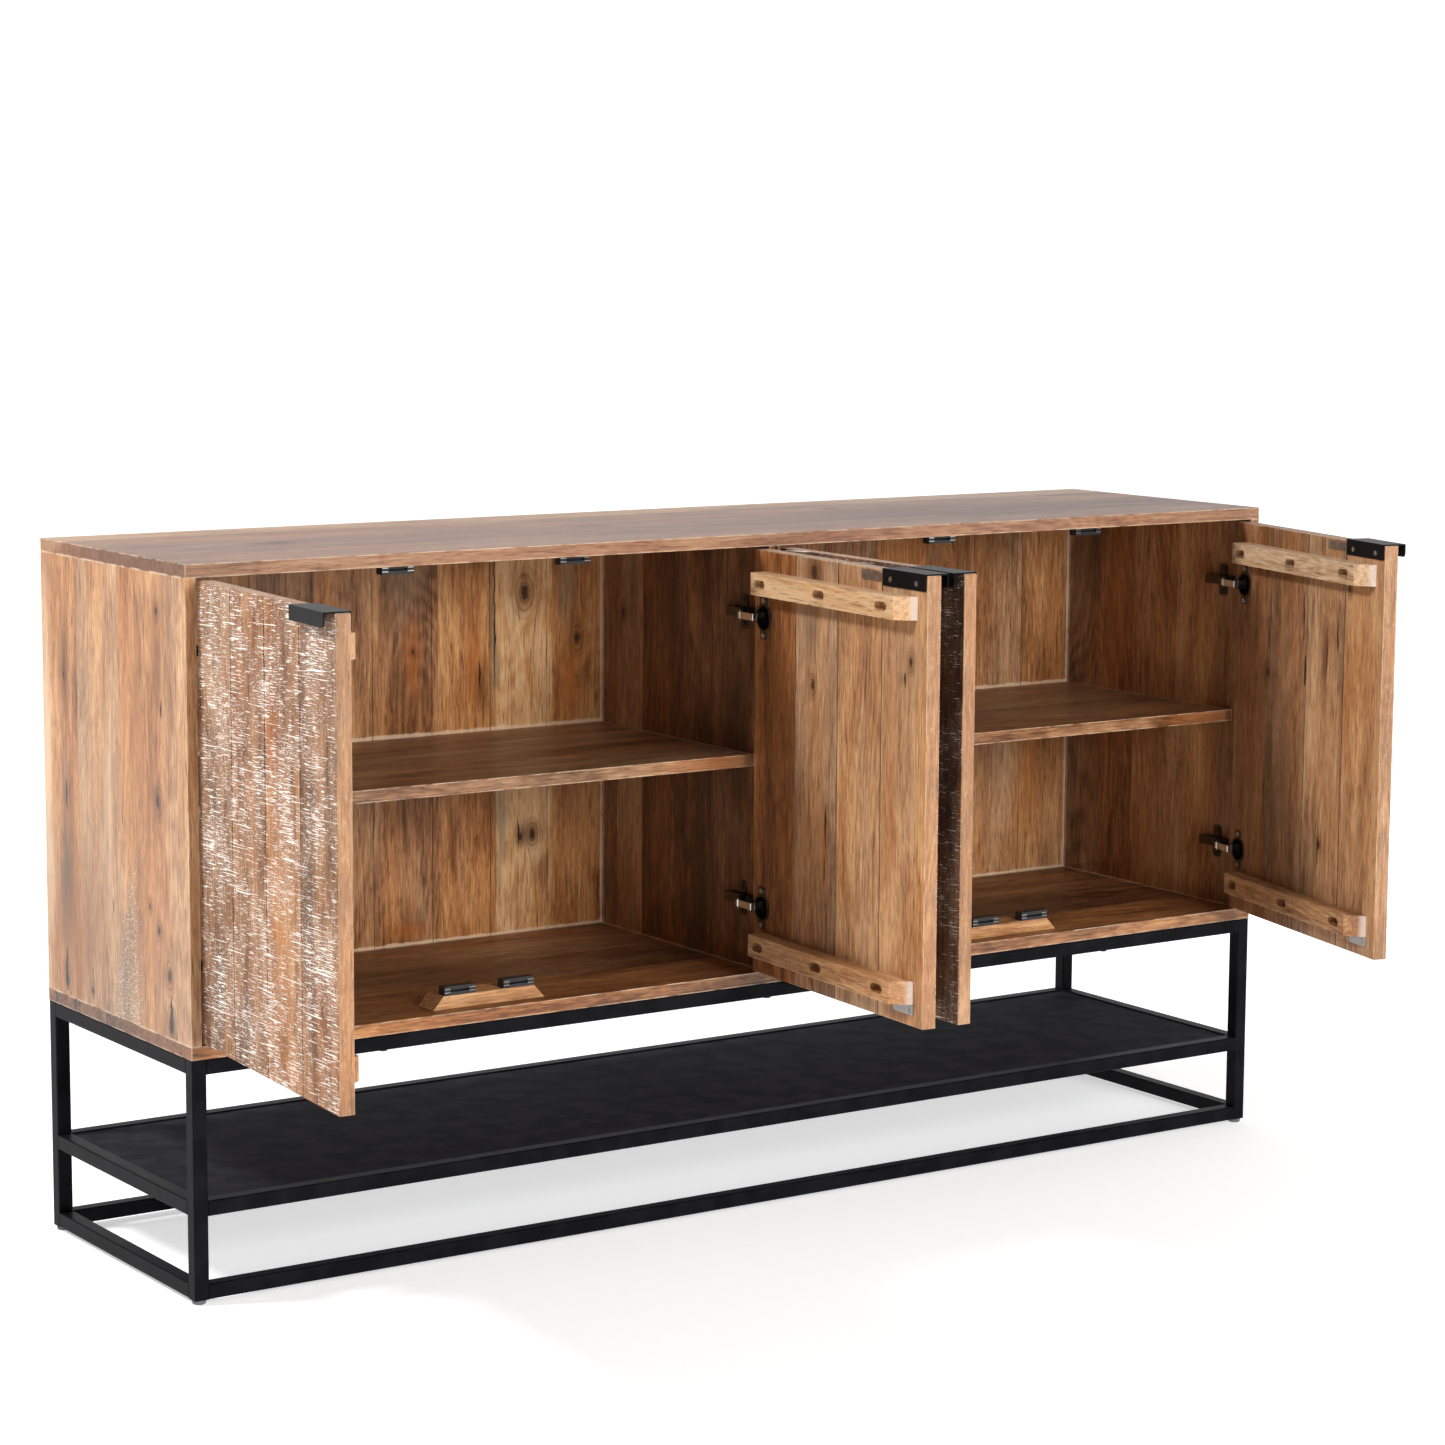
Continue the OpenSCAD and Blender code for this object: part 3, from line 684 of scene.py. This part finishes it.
class Door:
    """Where one door stands: its hinge corner, its turn from closed, and its own box when closed."""

    def __init__(self, number):
        joint = next(j for j in frame["joints"] if j["name"] == f"door_{number}_hinge")
        self.number = number
        self.body = f"door_{number}"
        self.side = joint["axis"][2]
        self.turn = -self.side * math.radians(joint["range_deg"][1])
        self.hinge = Vector((joint["pos_m"][0], joint["pos_m"][1], 0.0))
        self.matrix = Matrix.Translation(self.hinge) @ Matrix.Rotation(self.turn, 4, "Z")
        self.low, self.high = self.local_box(f"door_{number}_planks")

    def local_box(self, node):
        """A node's box in the closed door's frame, whose origin is the hinge corner."""
        back = self.matrix.inverted()
        points = np.array([back @ v.co for v in NODES[node].data.vertices])
        return Vector(points.min(0)), Vector(points.max(0))

    def cup_heights(self):
        """The middle height of each hinge cup."""
        back = self.matrix.inverted()
        heights = np.array([(back @ v.co).z for v in NODES[f"{self.body}_hinge_cups"].data.vertices])
        middle = (heights.min() + heights.max()) / 2
        halves = (heights[heights < middle], heights[heights > middle])
        return [(part.min() + part.max()) / 2 for part in halves]


def lattice(x, y, seed):
    """Smooth value noise from 0 to 1, one cell to each unit of x and y."""
    table = np.random.default_rng(seed).random((LATTICE_CELLS, LATTICE_CELLS))
    cell_x, cell_y = np.floor(x).astype(int), np.floor(y).astype(int)
    part_x, part_y = x - cell_x, y - cell_y
    part_x, part_y = part_x**2 * (3 - 2 * part_x), part_y**2 * (3 - 2 * part_y)

    def side(i):
        ends = [table[(cell_x + i) % LATTICE_CELLS, (cell_y + j) % LATTICE_CELLS] for j in (0, 1)]
        return ends[0] * (1 - part_y) + ends[1] * part_y

    near, far = side(0), side(1)
    return near * (1 - part_x) + far * part_x


def saw_depth(u, z, seed):
    """How deep the rough-sawn outer face lies below its highest points.

    The saw left broken strokes a few millimetres apart, torn fibres and shallow hollows.
    """
    rng = np.random.default_rng(seed)
    slanted = z + rng.normal(0.05, 0.03) * u
    spacing = rng.uniform(4.6, 6.4) * MM
    phase = slanted / spacing + 0.8 * lattice(u / 0.03, z / 0.05, seed + 1)
    strokes = np.clip(np.sin(2 * math.pi * phase), 0, 1) ** 2
    broken = np.clip(lattice(u / 0.011, slanted / 0.007, seed + 2) * 2 - 0.7, 0, 1)
    torn = lattice(u / 0.004, z / 0.012, seed + 3)
    hollow = lattice(u / 0.035, z / 0.16, seed + 4)
    return (0.30 * strokes * broken + 0.16 * torn + 0.30 * hollow) * MM


def plank_section(width, depth):
    """A plank's cross-section: points (u, v) round it, and which of them lie on the outer face."""
    count = max(4, round((width - 2 * SIDE_ROUND) / COLUMN_STEP))
    front = [(u, 0.0) for u in np.linspace(SIDE_ROUND, width - SIDE_ROUND, count + 1)]
    arc = [math.radians(a) for a in (30, 60)]
    rise = [(1 - math.cos(a)) * SIDE_ROUND for a in arc]
    run = [math.sin(a) * SIDE_ROUND for a in arc]
    right = [(width - SIDE_ROUND + b, a) for a, b in zip(rise, run)] + [(width, SIDE_ROUND)]
    left = [(0.0, SIDE_ROUND)] + [(SIDE_ROUND - b, a) for a, b in zip(rise[::-1], run[::-1])]
    inner_right = [(width, depth - INNER_CHAMFER), (width - INNER_CHAMFER, depth)]
    inner_left = [(INNER_CHAMFER, depth), (0.0, depth - INNER_CHAMFER)]
    return np.array(front + right + inner_right + inner_left + left), count + 1


def face_kind(section, i, width, first, last):
    """Which finish the strip between section points i and i + 1 has."""
    u, v = (section[i] + section[(i + 1) % len(section)]) / 2
    if v < SIDE_ROUND:
        return SAWN
    if (first and u < INNER_CHAMFER / 4) or (last and u > width - INNER_CHAMFER / 4):
        return EDGE
    return PLANED


def ring_faces(size, count):
    """The faces of a closed skin over count rings of size points each, with its two ends last."""
    last = (count - 1) * size
    faces = []
    for start in range(0, last, size):
        for i in range(size):
            j = (i + 1) % size
            faces.append((start + i, start + j, start + j + size, start + i + size))
    return faces + [tuple(range(size))[::-1], tuple(range(last, last + size))]


def plank_shell(index, width, door):
    """Vertices, faces and the finish of each face of one closed plank."""
    start = index * (width + PLANK_GAP)
    depth = door.high.y
    seed = 100 * door.number + 10 * index
    section, outer = plank_section(width, depth)
    low_z, high_z = door.low.z, door.high.z
    # The first and last rows are drawn in, which rounds the ends
    rows = np.concatenate([
        [low_z, low_z + 0.3 * END_ROUND],
        np.arange(low_z + END_ROUND, high_z - END_ROUND, ROW_STEP),
        [high_z - END_ROUND, high_z - 0.3 * END_ROUND, high_z],
    ])
    inset = np.zeros(len(rows))
    inset[[0, -1]] = END_ROUND * 0.9
    inset[[1, -2]] = END_ROUND * 0.35
    u = np.clip(section[None, :, 0], inset[:, None], width - inset[:, None])
    v = np.clip(section[None, :, 1], inset[:, None], depth - inset[:, None])
    z = np.repeat(rows[:, None], len(section), 1)
    v[:, :outer] += saw_depth(start + u[:, :outer], z[:, :outer], seed)
    points = np.stack([door.side * (start + u), v, z], -1).reshape(-1, 3)
    size = len(section)
    around = [face_kind(section, i, width, index == 0, index == PLANKS - 1) for i in range(size)]
    faces = ring_faces(size, len(rows))
    kinds = around * (len(rows) - 1) + [EDGE, EDGE]
    if door.side < 0:
        faces = [f[::-1] for f in faces]
    return points, faces, kinds


def add_skin(points, faces, skin):
    """Adds the points and faces of one closed skin to the lists."""
    offset = len(points)
    points += list(skin[0])
    faces += [tuple(i + offset for i in f) for f in skin[1]]


def mesh_object(name, points, faces):
    """A new object, shaded smooth except over sharp edges."""
    made = add_mesh(name, [tuple(p) for p in points], faces)
    made.data.polygons.foreach_set("use_smooth", [True] * len(faces))
    made.data.set_sharp_from_angle(angle=math.radians(SMOOTH_ANGLE))
    return made


def cylinder_cutter(place, radius, depth):
    """A flat-shaded round cutter that starts at place and goes along Y."""
    turns = [2 * math.pi * i / CUTTER_SIDES for i in range(CUTTER_SIDES)]
    ring = [(place[0] + radius * math.cos(a), place[2] + radius * math.sin(a)) for a in turns]
    points = [(x, place[1] + d, z) for d in (0.0, depth) for x, z in ring]
    return add_mesh("cutter", points, [f[::-1] for f in ring_faces(CUTTER_SIDES, 2)])


def bore_cups(door, made):
    """Cuts the two round recesses that the hinge cups are let into."""
    cutters = []
    for height in door.cup_heights():
        place = (door.side * CUP_FROM_EDGE, door.high.y - CUP_BORE_DEPTH, height)
        cutter = cylinder_cutter(place, CUP_BORE_R, CUP_BORE_DEPTH + CUTTER_PROUD)
        cutters.append(cutter)
        cut = made.modifiers.new("cup", "BOOLEAN")
        cut.object = cutter
        cut.operation = "DIFFERENCE"
        cut.solver = "MANIFOLD"
    bpy.context.view_layer.update()
    graph = bpy.context.evaluated_depsgraph_get()
    mesh = bpy.data.meshes.new_from_object(made.evaluated_get(graph), depsgraph=graph)
    made.modifiers.clear()
    made.data = mesh
    for cutter in cutters:
        bpy.data.objects.remove(cutter)


def make_door_boards(door, finishes):
    """Four planks side by side: rough sawn outside, planed inside, with sawn edges and ends."""
    width = (door.high.x - door.low.x - (PLANKS - 1) * PLANK_GAP) / PLANKS
    points, faces, kinds = [], [], []
    for index in range(PLANKS):
        *skin, finish = plank_shell(index, width, door)
        add_skin(points, faces, skin)
        kinds += finish
    made = mesh_object(f"{door.body}_boards", points, faces)
    for material in finishes:
        made.data.materials.append(material)
    made.data.polygons.foreach_set("material_index", kinds)
    bore_cups(door, made)
    made.matrix_world = door.matrix
    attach(made, door.body)
    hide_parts(f"{door.body}_planks")


# ---------- how each part is finished ----------

# Seams of the CAD mesh narrower than this are closed before its edges are rounded
WELD_GAP = 0.005 * MM
# Edges that bend less than the first angle are dissolved, and sharper than the second rounded
FLAT_ANGLE = 0.5
ROUND_ANGLE = 40.0


def soften(node, width):
    """Rounds a CAD part's sharp edges a little, as sanding or folding leaves them."""
    part = NODES[node]
    weld = part.modifiers.new("weld", "WELD")
    weld.merge_threshold = WELD_GAP
    flat = part.modifiers.new("flat", "DECIMATE")
    flat.decimate_type = "DISSOLVE"
    flat.angle_limit = math.radians(FLAT_ANGLE)
    bevel = part.modifiers.new("round", "BEVEL")
    bevel.width = width
    bevel.segments = 3
    bevel.limit_method = "ANGLE"
    bevel.angle_limit = math.radians(ROUND_ANGLE)


def dress(node, material):
    """Gives a CAD part one material."""
    data = NODES[node].data
    data.materials.clear()
    data.materials.append(material)


def even_boards(start, end, tones):
    """Boards of equal width from start to end, one for each (tone, warmth)."""
    step = (end - start) / len(tones)
    return [(start + i * step, *tone) for i, tone in enumerate(tones)]


def top_grain(low, high):
    """Dark, greyish boards with a paler one along the back, lightened and tinted mauve as painted sheen
    of the white backdrop.
    """
    front, back = low.y, high.y
    return Grain(
        "X", "Y",
        [(front, 0.56, 0.3), (front + 0.13, 0.48, 0.22),
         (front + 0.25, 0.58, 0.3), (back - 0.069, 0.86, 0.4)],
        knots=[(-0.008, -0.643, 0.008), (0.09, 0.31, 0.005)],
        # The wide mauve smudge covers the whole top and is painted sheen of the white backdrop
        smudges=[(PAINTED_SHEEN_MAUVE, -0.05, 0.0, 0.4, 3.0, 0.55), (DARK, -0.05, 0.55, 0.12, 0.5, 0.35)],
        seed=1.0,
    )


def bottom_grain(low, high, right_end):
    """Dark boards, with painted shade under the shelves, and split at the left end."""
    return Grain(
        "X", "Y",
        [(low.y, 0.42, 0.6), (low.y + 0.12, 0.3, 0.45),
         (low.y + 0.25, 0.38, 0.5), (high.y - 0.06, 0.34, 0.5)],
        cracks=[(0.13, low.x + 0.002, 0.03, 0.004), (0.19, low.x + 0.002, 0.03, 0.003)],
        # The two dark smudges, one in each bay, are painted shade under the shelves
        smudges=[(DARK, 0.02, -0.45, 0.15, 0.28, 0.45), (DARK, 0.02, 0.45, 0.15, 0.28, 0.45)],
        dust=[("Y", high.y - 0.012, 4 * MM), ("X", -0.01, 3 * MM), ("X", right_end - 0.016, 3 * MM)],
        inside=("Z", 1.0),
        seed=2.0,
    )


def metres(marks):
    """Marks given in millimetres turned into metres, but for a smudge's colour and strength."""
    smudges = [m for m in marks if isinstance(m[0], tuple)]
    if smudges:
        return [(colour, *(v / 1000 for v in spot), share) for colour, *spot, share in smudges]
    return [tuple(v / 1000 for v in m) for m in marks]


# Golden tan boards with knots, cracks, a grey stain and a few soft brown ones
LEFT_GRAIN = Grain(
    "Z", "Y", [(-1.0, 0.64, 0.58), (-0.105, 0.6, 0.5), (-0.02, 0.64, 0.46), (0.105, 0.58, 0.58)],
    knots=metres([
        (148, 758, 3), (-132, 868, 3), (-130, 628, 5), (-127, 464, 3.5), (-102, 492, 2.5),
        (-156, 412, 5), (153, 352, 6), (-160, 348, 7), (74, 352, 3),
    ]),
    cracks=metres([
        (-142, 746, 24, 2.6), (145, 600, 50, 3), (154, 368, 62, 5), (8, 473, 24, 1.4),
        (-160, 362, 50, 5), (70, 372, 40, 1.2),
    ]),
    smudges=metres([
        (WARM[1], 148, 770, 20, 90, 0.8), (WARM[2], -128, 850, 22, 55, 0.6),
        (WARM[1], -134, 790, 16, 55, 0.55), (OLIVE, 152, 490, 26, 100, 0.9),
        (GREY, 150, 620, 12, 55, 0.45), (COOL[2], 148, 420, 22, 60, 0.45),
        (PALE, 205, 620, 18, 300, 0.6), (COOL[2], -30, 420, 50, 80, 0.35),
        (WARM[2], 115, 410, 70, 100, 0.45), (WARM[2], 60, 620, 20, 140, 0.25),
        (WARM[3], -60, 720, 40, 160, 0.35), (PALE, 20, 600, 20, 140, 0.3),
        (WARM[1], 120, 460, 120, 160, 0.32), (WARM[3], -120, 480, 60, 100, 0.3),
    ]),
    patch=(-0.061, 0.575, -0.077, 0.001, 0.37),
    seed=3.0,
)
# The right side as seen from inside: warm, with dark stains at the back, in front and on top
RIGHT_GRAIN = Grain(
    "Z", "Y", [(-1.0, 0.5, 0.5), (-0.055, 0.52, 0.6), (0.045, 0.48, 0.8), (0.119, 0.46, 0.4)],
    cracks=metres([(-60, 800, 160, 1)]),
    smudges=metres([
        (DARK, 150, 850, 60, 100, 0.45), (ORANGE, 80, 760, 30, 120, 0.35),
        (DARK, -160, 620, 50, 340, 0.4),
    ]),
    dust=[("Y", 0.203, 2 * MM)],
    inside=("X", -1.0),
    seed=4.0,
)
# Dark brown in front, with a greyer board at the back
DIVIDER_GRAIN = Grain(
    "Z", "Y", [(-1.0, 0.22, 0.6), (-0.02, 0.22, 0.75), (0.098, 0.66, 0.45), (0.165, 0.5, 0.5)],
    knots=metres([(150, 792, 3.5)]),
    cracks=metres([(150, 700, 100, 1.2)]),
    smudges=metres([
        (DARK, 30, 820, 40, 100, 0.5), (DARK, -140, 620, 60, 340, 0.5), (GREY, 120, 850, 10, 90, 0.4),
    ]),
    dust=[("Y", 0.203, 3 * MM)],
    seed=5.0,
)
BLOCK_GRAIN = Grain("X", "Y", [(-1.0, 0.66, 0.5)], seed=9.0)
DOWEL_GRAIN = Grain("Z", "X", [(-1.0, 0.6, 0.5)], seed=10.0)


def back_grain(low, high, shelf_top, floor_top):
    """Nine planks in each bay, all different."""
    left = [(0.5, 0.6), (0.45, 0.5), (0.52, 0.55), (0.44, 0.45), (0.58, 0.62),
            (0.48, 0.5), (0.58, 0.66), (0.82, 0.8), (0.58, 0.85)]
    right = [(0.46, 0.6), (0.52, 0.5), (0.44, 0.7), (0.5, 0.5), (0.44, 0.6),
             (0.54, 0.8), (0.56, 0.5), (0.6, 0.62), (0.6, 0.6)]
    return Grain(
        "Z", "X", even_boards(low.x, 0.0, left) + even_boards(0.0, high.x, right),
        knots=metres([
            (-140, 822, 7), (-52, 752, 5), (-322, 748, 2.5), (-128, 472, 4.5), (-148, 470, 3),
            (430, 520, 5), (620, 810, 5),
        ]),
        cracks=metres([(-152, 478, 45, 2), (-190, 780, 220, 1.6), (-215, 710, 50, 1.6)]),
        smudges=metres([
            (GREY, -335, 850, 40, 60, 0.35), (ORANGE, -330, 740, 20, 60, 0.55),
            (DARK, -345, 700, 14, 50, 0.4), (DARK, -365, 820, 12, 80, 0.35),
            (ORANGE, -222, 720, 18, 60, 0.55), (DARK, -212, 690, 12, 40, 0.55),
            (DARK, -220, 880, 30, 30, 0.45), (GREY, -190, 760, 6, 130, 0.6),
            (ORANGE, -60, 690, 20, 60, 0.6), (GREY, -70, 830, 16, 70, 0.5),
            (DARK, -40, 700, 10, 30, 0.4), (WARM[2], -140, 828, 24, 30, 0.4),
            (DARK, -290, 560, 50, 30, 0.35), (GREY, -186, 500, 10, 120, 0.6),
            (DARK, -140, 475, 30, 22, 0.45), (DARK, -120, 420, 20, 30, 0.25),
            (ORANGE, -330, 352, 40, 12, 0.5), (COOL[2], -60, 540, 40, 80, 0.3),
            (ORANGE, 620, 750, 30, 80, 0.45), (DARK, 700, 860, 20, 60, 0.4),
            (DARK, 560, 420, 30, 60, 0.4), (ORANGE, 780, 520, 20, 120, 0.4),
        ]),
        dust=[
            ("Z", shelf_top + 2 * MM, 4 * MM), ("Z", floor_top + 2 * MM, 3 * MM),
            ("X", -0.0105, 3 * MM), ("X", 0.8585, 3 * MM),
        ],
        inside=("Y", -1.0),
        seed=6.0,
    )


def shelf_grain(low, high, seed):
    """Four greyish boards with an orange stain in front, near the right end."""
    return Grain(
        "X", "Y", even_boards(low.y, high.y, [(0.48, 0.45), (0.4, 0.35), (0.48, 0.28), (0.44, 0.4)]),
        smudges=[
            (GREY, 0.0, (low.x + high.x) / 2, 0.05, 0.2, 0.35),
            (ORANGE, low.y, high.x - 0.06, 0.012, 0.1, 0.5),
        ],
        dust=[("Y", 0.203, 4 * MM), ("X", high.x - 0.006, 3 * MM)],
        inside=("Z", 1.0),
        seed=seed,
    )


def dress_carcass():
    """Gives each board of the carcass its wood, and eases its edges."""
    bottom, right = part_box("bottom_board"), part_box("right_side")
    # Each board's grain, roughness and wear, and for the top a lower specular level
    boards = {
        "top_board": (top_grain(*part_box("top_board")), 0.4, 0.6, 0.22),
        "bottom_board": (bottom_grain(*bottom, right[1].x), 0.45, 0.6),
        "left_side": (LEFT_GRAIN, 0.42, 0.6),
        "right_side": (RIGHT_GRAIN, 0.45, 0.6),
        "centre_divider": (DIVIDER_GRAIN, 0.45, 0.4),
        "left_shelf": (shelf_grain(*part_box("left_shelf"), 7.0), 0.4, 0.6),
        "right_shelf": (shelf_grain(*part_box("right_shelf"), 8.0), 0.4, 0.6),
        "catch_blocks": (BLOCK_GRAIN, 0.5, 0.2),
    }
    for node, finish in boards.items():
        dress(node, planed_wood(f"{node}_wood", node, *finish))
        soften(node, 1.0 * MM)
    back = back_grain(*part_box("back_planks"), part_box("left_shelf")[1].z, bottom[1].z)
    dress("back_planks", planed_wood("back_wood", "back_planks", back))
    soften("back_planks", 0.3 * MM)
    dress("dowels", planed_wood("dowel_wood", "dowels", DOWEL_GRAIN, wear=0.0))


# For each door, from its hinge edge to its free edge: (tone, warmth) of its four planks
INNER_BOARDS = {
    1: [(0.55, 0.5), (0.6, 0.4), (0.58, 0.6), (0.64, 0.45)],
    # Door 2's and door 4's planks darken towards the hinge: partly their own tone, partly painted shade
    # of the hinge corner
    2: [(0.36, 0.95), (0.54, 0.28), (0.7, 0.52), (0.68, 0.38)],
    3: [(0.58, 0.5), (0.52, 0.6), (0.62, 0.4), (0.6, 0.6)],
    4: [(0.38, 0.6), (0.44, 0.42), (0.62, 0.42), (0.68, 0.6)],
}
OUTER_BOARDS = {
    1: [(0.47, 0.5), (0.49, 0.58), (0.5, 0.66), (0.42, 0.52)],
    2: [(0.42, 0.5), (0.38, 0.4), (0.46, 0.6), (0.42, 0.5)],
    # Door 3's planks are this dark partly as painted shade, where door 2 shades its outer face
    3: [(0.18, 0.4), (0.2, 0.5), (0.16, 0.6), (0.13, 0.5)],
    4: [(0.52, 0.5), (0.48, 0.6), (0.46, 0.4), (0.54, 0.5)],
}
# The same doors' marks in millimetres, placed across by their distance from the hinge edge
INNER_KNOTS = {
    2: [(152, 893, 7), (386, 800, 3.4), (150, 745, 4)],
    4: [(100, 700, 4), (262, 470, 3.5), (330, 845, 3)],
}
INNER_CRACKS = {
    2: [(374, 776, 22, 3), (185, 560, 70, 3.2), (183, 500, 50, 2.2)],
    4: [(203, 790, 100, 2.4), (210, 715, 50, 5), (270, 740, 120, 1.8), (300, 775, 50, 3),
        (258, 470, 80, 2)],
}
INNER_SMUDGES = {
    2: [(WARM[2], 150, 893, 24, 30, 0.5), (WARM[2], 150, 700, 14, 60, 0.55),
        (ORANGE, 184, 530, 10, 60, 0.6), (GREY, 140, 820, 30, 50, 0.35),
        (ORANGE, 345, 660, 12, 250, 0.35), (COOL[3], 390, 800, 30, 50, 0.5)],
    4: [(WARM[1], 265, 735, 12, 70, 0.7), (ORANGE, 330, 660, 10, 100, 0.45),
        (DARK, 245, 460, 8, 120, 0.45), (COOL[2], 150, 620, 30, 180, 0.3)],
}
OUTER_CRACKS = {
    1: [(213, 840, 100, 2.6), (211, 720, 120, 1.8), (292, 705, 40, 3.6)],
}
OUTER_SMUDGES = {
    1: [(ORANGE, 235, 740, 22, 60, 0.55), (WARM[1], 330, 800, 18, 100, 0.55),
        (COOL[1], 340, 560, 20, 160, 0.6), (WARM[1], 195, 700, 10, 160, 0.4),
        (COOL[1], 345, 400, 18, 80, 0.35), (WARM[3], 230, 460, 50, 160, 0.4)],
}


def on_side(marks, side, place=0):
    """Marks in metres, with their place measured from the hinge edge turned to the door's X."""
    return [(*m[:place], side * m[place], *m[place + 1 :]) for m in metres(marks)]


def door_grain(door, boards, knots, cracks, smudges, seed):
    """The grain of one face of a door, from the tables above."""
    tones = boards[door.number] if door.side > 0 else boards[door.number][::-1]
    return Grain(
        "Z", "X", even_boards(door.low.x, door.high.x, tones),
        knots=on_side(knots.get(door.number, ()), door.side),
        cracks=on_side(cracks.get(door.number, ()), door.side),
        smudges=on_side(smudges.get(door.number, ()), door.side, 1),
        seed=seed,
        seam=0.8 * MM,
    )


def dress_door(number):
    """Makes one door's boards and finishes its battens, whose free ends hold some filler."""
    door = Door(number)
    inner = door_grain(door, INNER_BOARDS, INNER_KNOTS, INNER_CRACKS, INNER_SMUDGES, 20.0 + number)
    outer = door_grain(door, OUTER_BOARDS, {}, OUTER_CRACKS, OUTER_SMUDGES, 30.0 + number)
    make_door_boards(door, [
        planed_wood(f"door_{number}_planed", None, inner, box=(door.low, door.high), wear=0.35),
        sawn_wood(f"door_{number}_sawn", door, outer),
        edge_wood(f"door_{number}_edges", door, 50.0 + number),
    ])
    node = f"door_{number}_battens"
    box = door.local_box(node)
    free_end = box[1].x if door.side > 0 else box[0].x
    middle = (box[0].z + box[1].z) / 2
    battens = Grain(
        "X", "Z", [(box[0].z, 0.60, 0.60), (middle, 0.95, 0.36)],
        smudges=[(CHALK, middle, free_end, 1.0, 7 * MM, 0.75)],
        seed=40.0 + number,
    )
    dress(node, planed_wood(f"door_{number}_batten_wood", node, battens, door=door, box=box, wear=0.5))
    soften(node, 0.8 * MM)


# ---------- metal and plastic ----------

BLACK = (0.0045, 0.0044, 0.0056)
# A paler, bluer black for the sheet shelf: partly its own colour, partly painted sheen, as its specular
# level is kept near nothing
SHELF_BLACK_AND_SHEEN = (0.0165, 0.0160, 0.0205)
HANDLE_BLACK = (0.0050, 0.0050, 0.0055)
# The two pole plates of a magnetic catch: how far in from its sides they start, how far they
# stand out, their heights and their thickness
POLE_INSET = 8.8 * MM
POLE_PROUD = 0.04 * MM
POLE_HEIGHTS = (2.6 * MM, 7.2 * MM)
POLE_THICK = 2.1 * MM


def islands(node, axis, gap):
    """The boxes of a node's separate pieces, told apart by the empty stretches along an axis."""
    points = np.array([v.co for v in NODES[node].data.vertices])
    points = points[np.argsort(points[:, axis])]
    breaks = np.flatnonzero(np.diff(points[:, axis]) > gap) + 1
    return [(part.min(0), part.max(0)) for part in np.split(points, breaks)]


def folded_strip(low, high, lip):
    """A pole plate seen from the side as points (y, z): flat, with its front end turned over."""
    thick = high[2] - low[2]
    turn = [math.radians(a) for a in range(0, 91, 15)]
    outer = [(low[1] + lip - lip * math.sin(a), low[2] + lip * (1 - math.cos(a))) for a in turn]
    return [(high[1], low[2])] + outer + [(low[1] + thick * 0.9, low[2] + lip), (high[1], high[2])]


def make_catch_poles(node, name, steel):
    """Bright steel pole plates in the mouth of each magnetic catch."""
    points, faces = [], []
    for low, high in islands(node, 0, 10 * MM):
        for height in POLE_HEIGHTS:
            start = np.array([low[0] + POLE_INSET, low[1] - POLE_PROUD, low[2] + height])
            end = np.array([high[0] - POLE_INSET, low[1] + 5 * MM, low[2] + height + POLE_THICK])
            profile = folded_strip(start, end, POLE_THICK * 0.8)
            rings = [(x, y, z) for x in (start[0], end[0]) for y, z in profile]
            add_skin(points, faces, (rings, ring_faces(len(profile), 2)))
    made = mesh_object(name, points, faces)
    made.data.materials.append(steel)
    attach(made, "carcass")


def dress_metal():
    """Coats the base, the handles and the hardware, and puts the poles in the catches."""
    tube = powder_coat("frame_coat", BLACK, 0.45, 0.05)
    handle = powder_coat("handle_coat", HANDLE_BLACK, 0.42, 0.08)
    nickel = plated_steel("nickel", (0.80, 0.78, 0.74), 0.34)
    zinc = plated_steel("zinc", (0.62, 0.60, 0.57), 0.32)
    dark = plated_steel("dark_plate", (0.11, 0.10, 0.09), 0.36)
    catch = moulded_plastic("catch_plastic", (0.020, 0.020, 0.022))
    finishes = {node: tube for node in NODES if "rail" in node or node in ("legs", "shelf_tabs")}
    finishes["sheet_shelf"] = powder_coat("shelf_coat", SHELF_BLACK_AND_SHEEN, 0.75, 0.03)
    finishes["feet"] = moulded_plastic("foot_plastic", (0.12, 0.12, 0.125))
    finishes["hinge_pins"] = nickel
    for node in ("hinge_plates", "hinge_arms", "carcass_screws"):
        finishes[node] = dark
    door_parts = {
        "handle": handle, "strikes": zinc, "hinge_cups": dark, "screws": zinc, "hinge_links": nickel,
    }
    for number in range(1, 5):
        for part, finish in door_parts.items():
            finishes[f"door_{number}_{part}"] = finish
        soften(f"door_{number}_handle", 0.6 * MM)
    soften("sheet_shelf", 0.5 * MM)
    for group in ("upper", "lower"):
        finishes[f"{group}_catches"] = catch
        make_catch_poles(f"{group}_catches", f"{group}_catch_poles", nickel)
    for node, finish in finishes.items():
        dress(node, finish)


make_camera()
make_studio()
dress_carcass()
for door_number in range(1, 5):
    dress_door(door_number)
dress_metal()
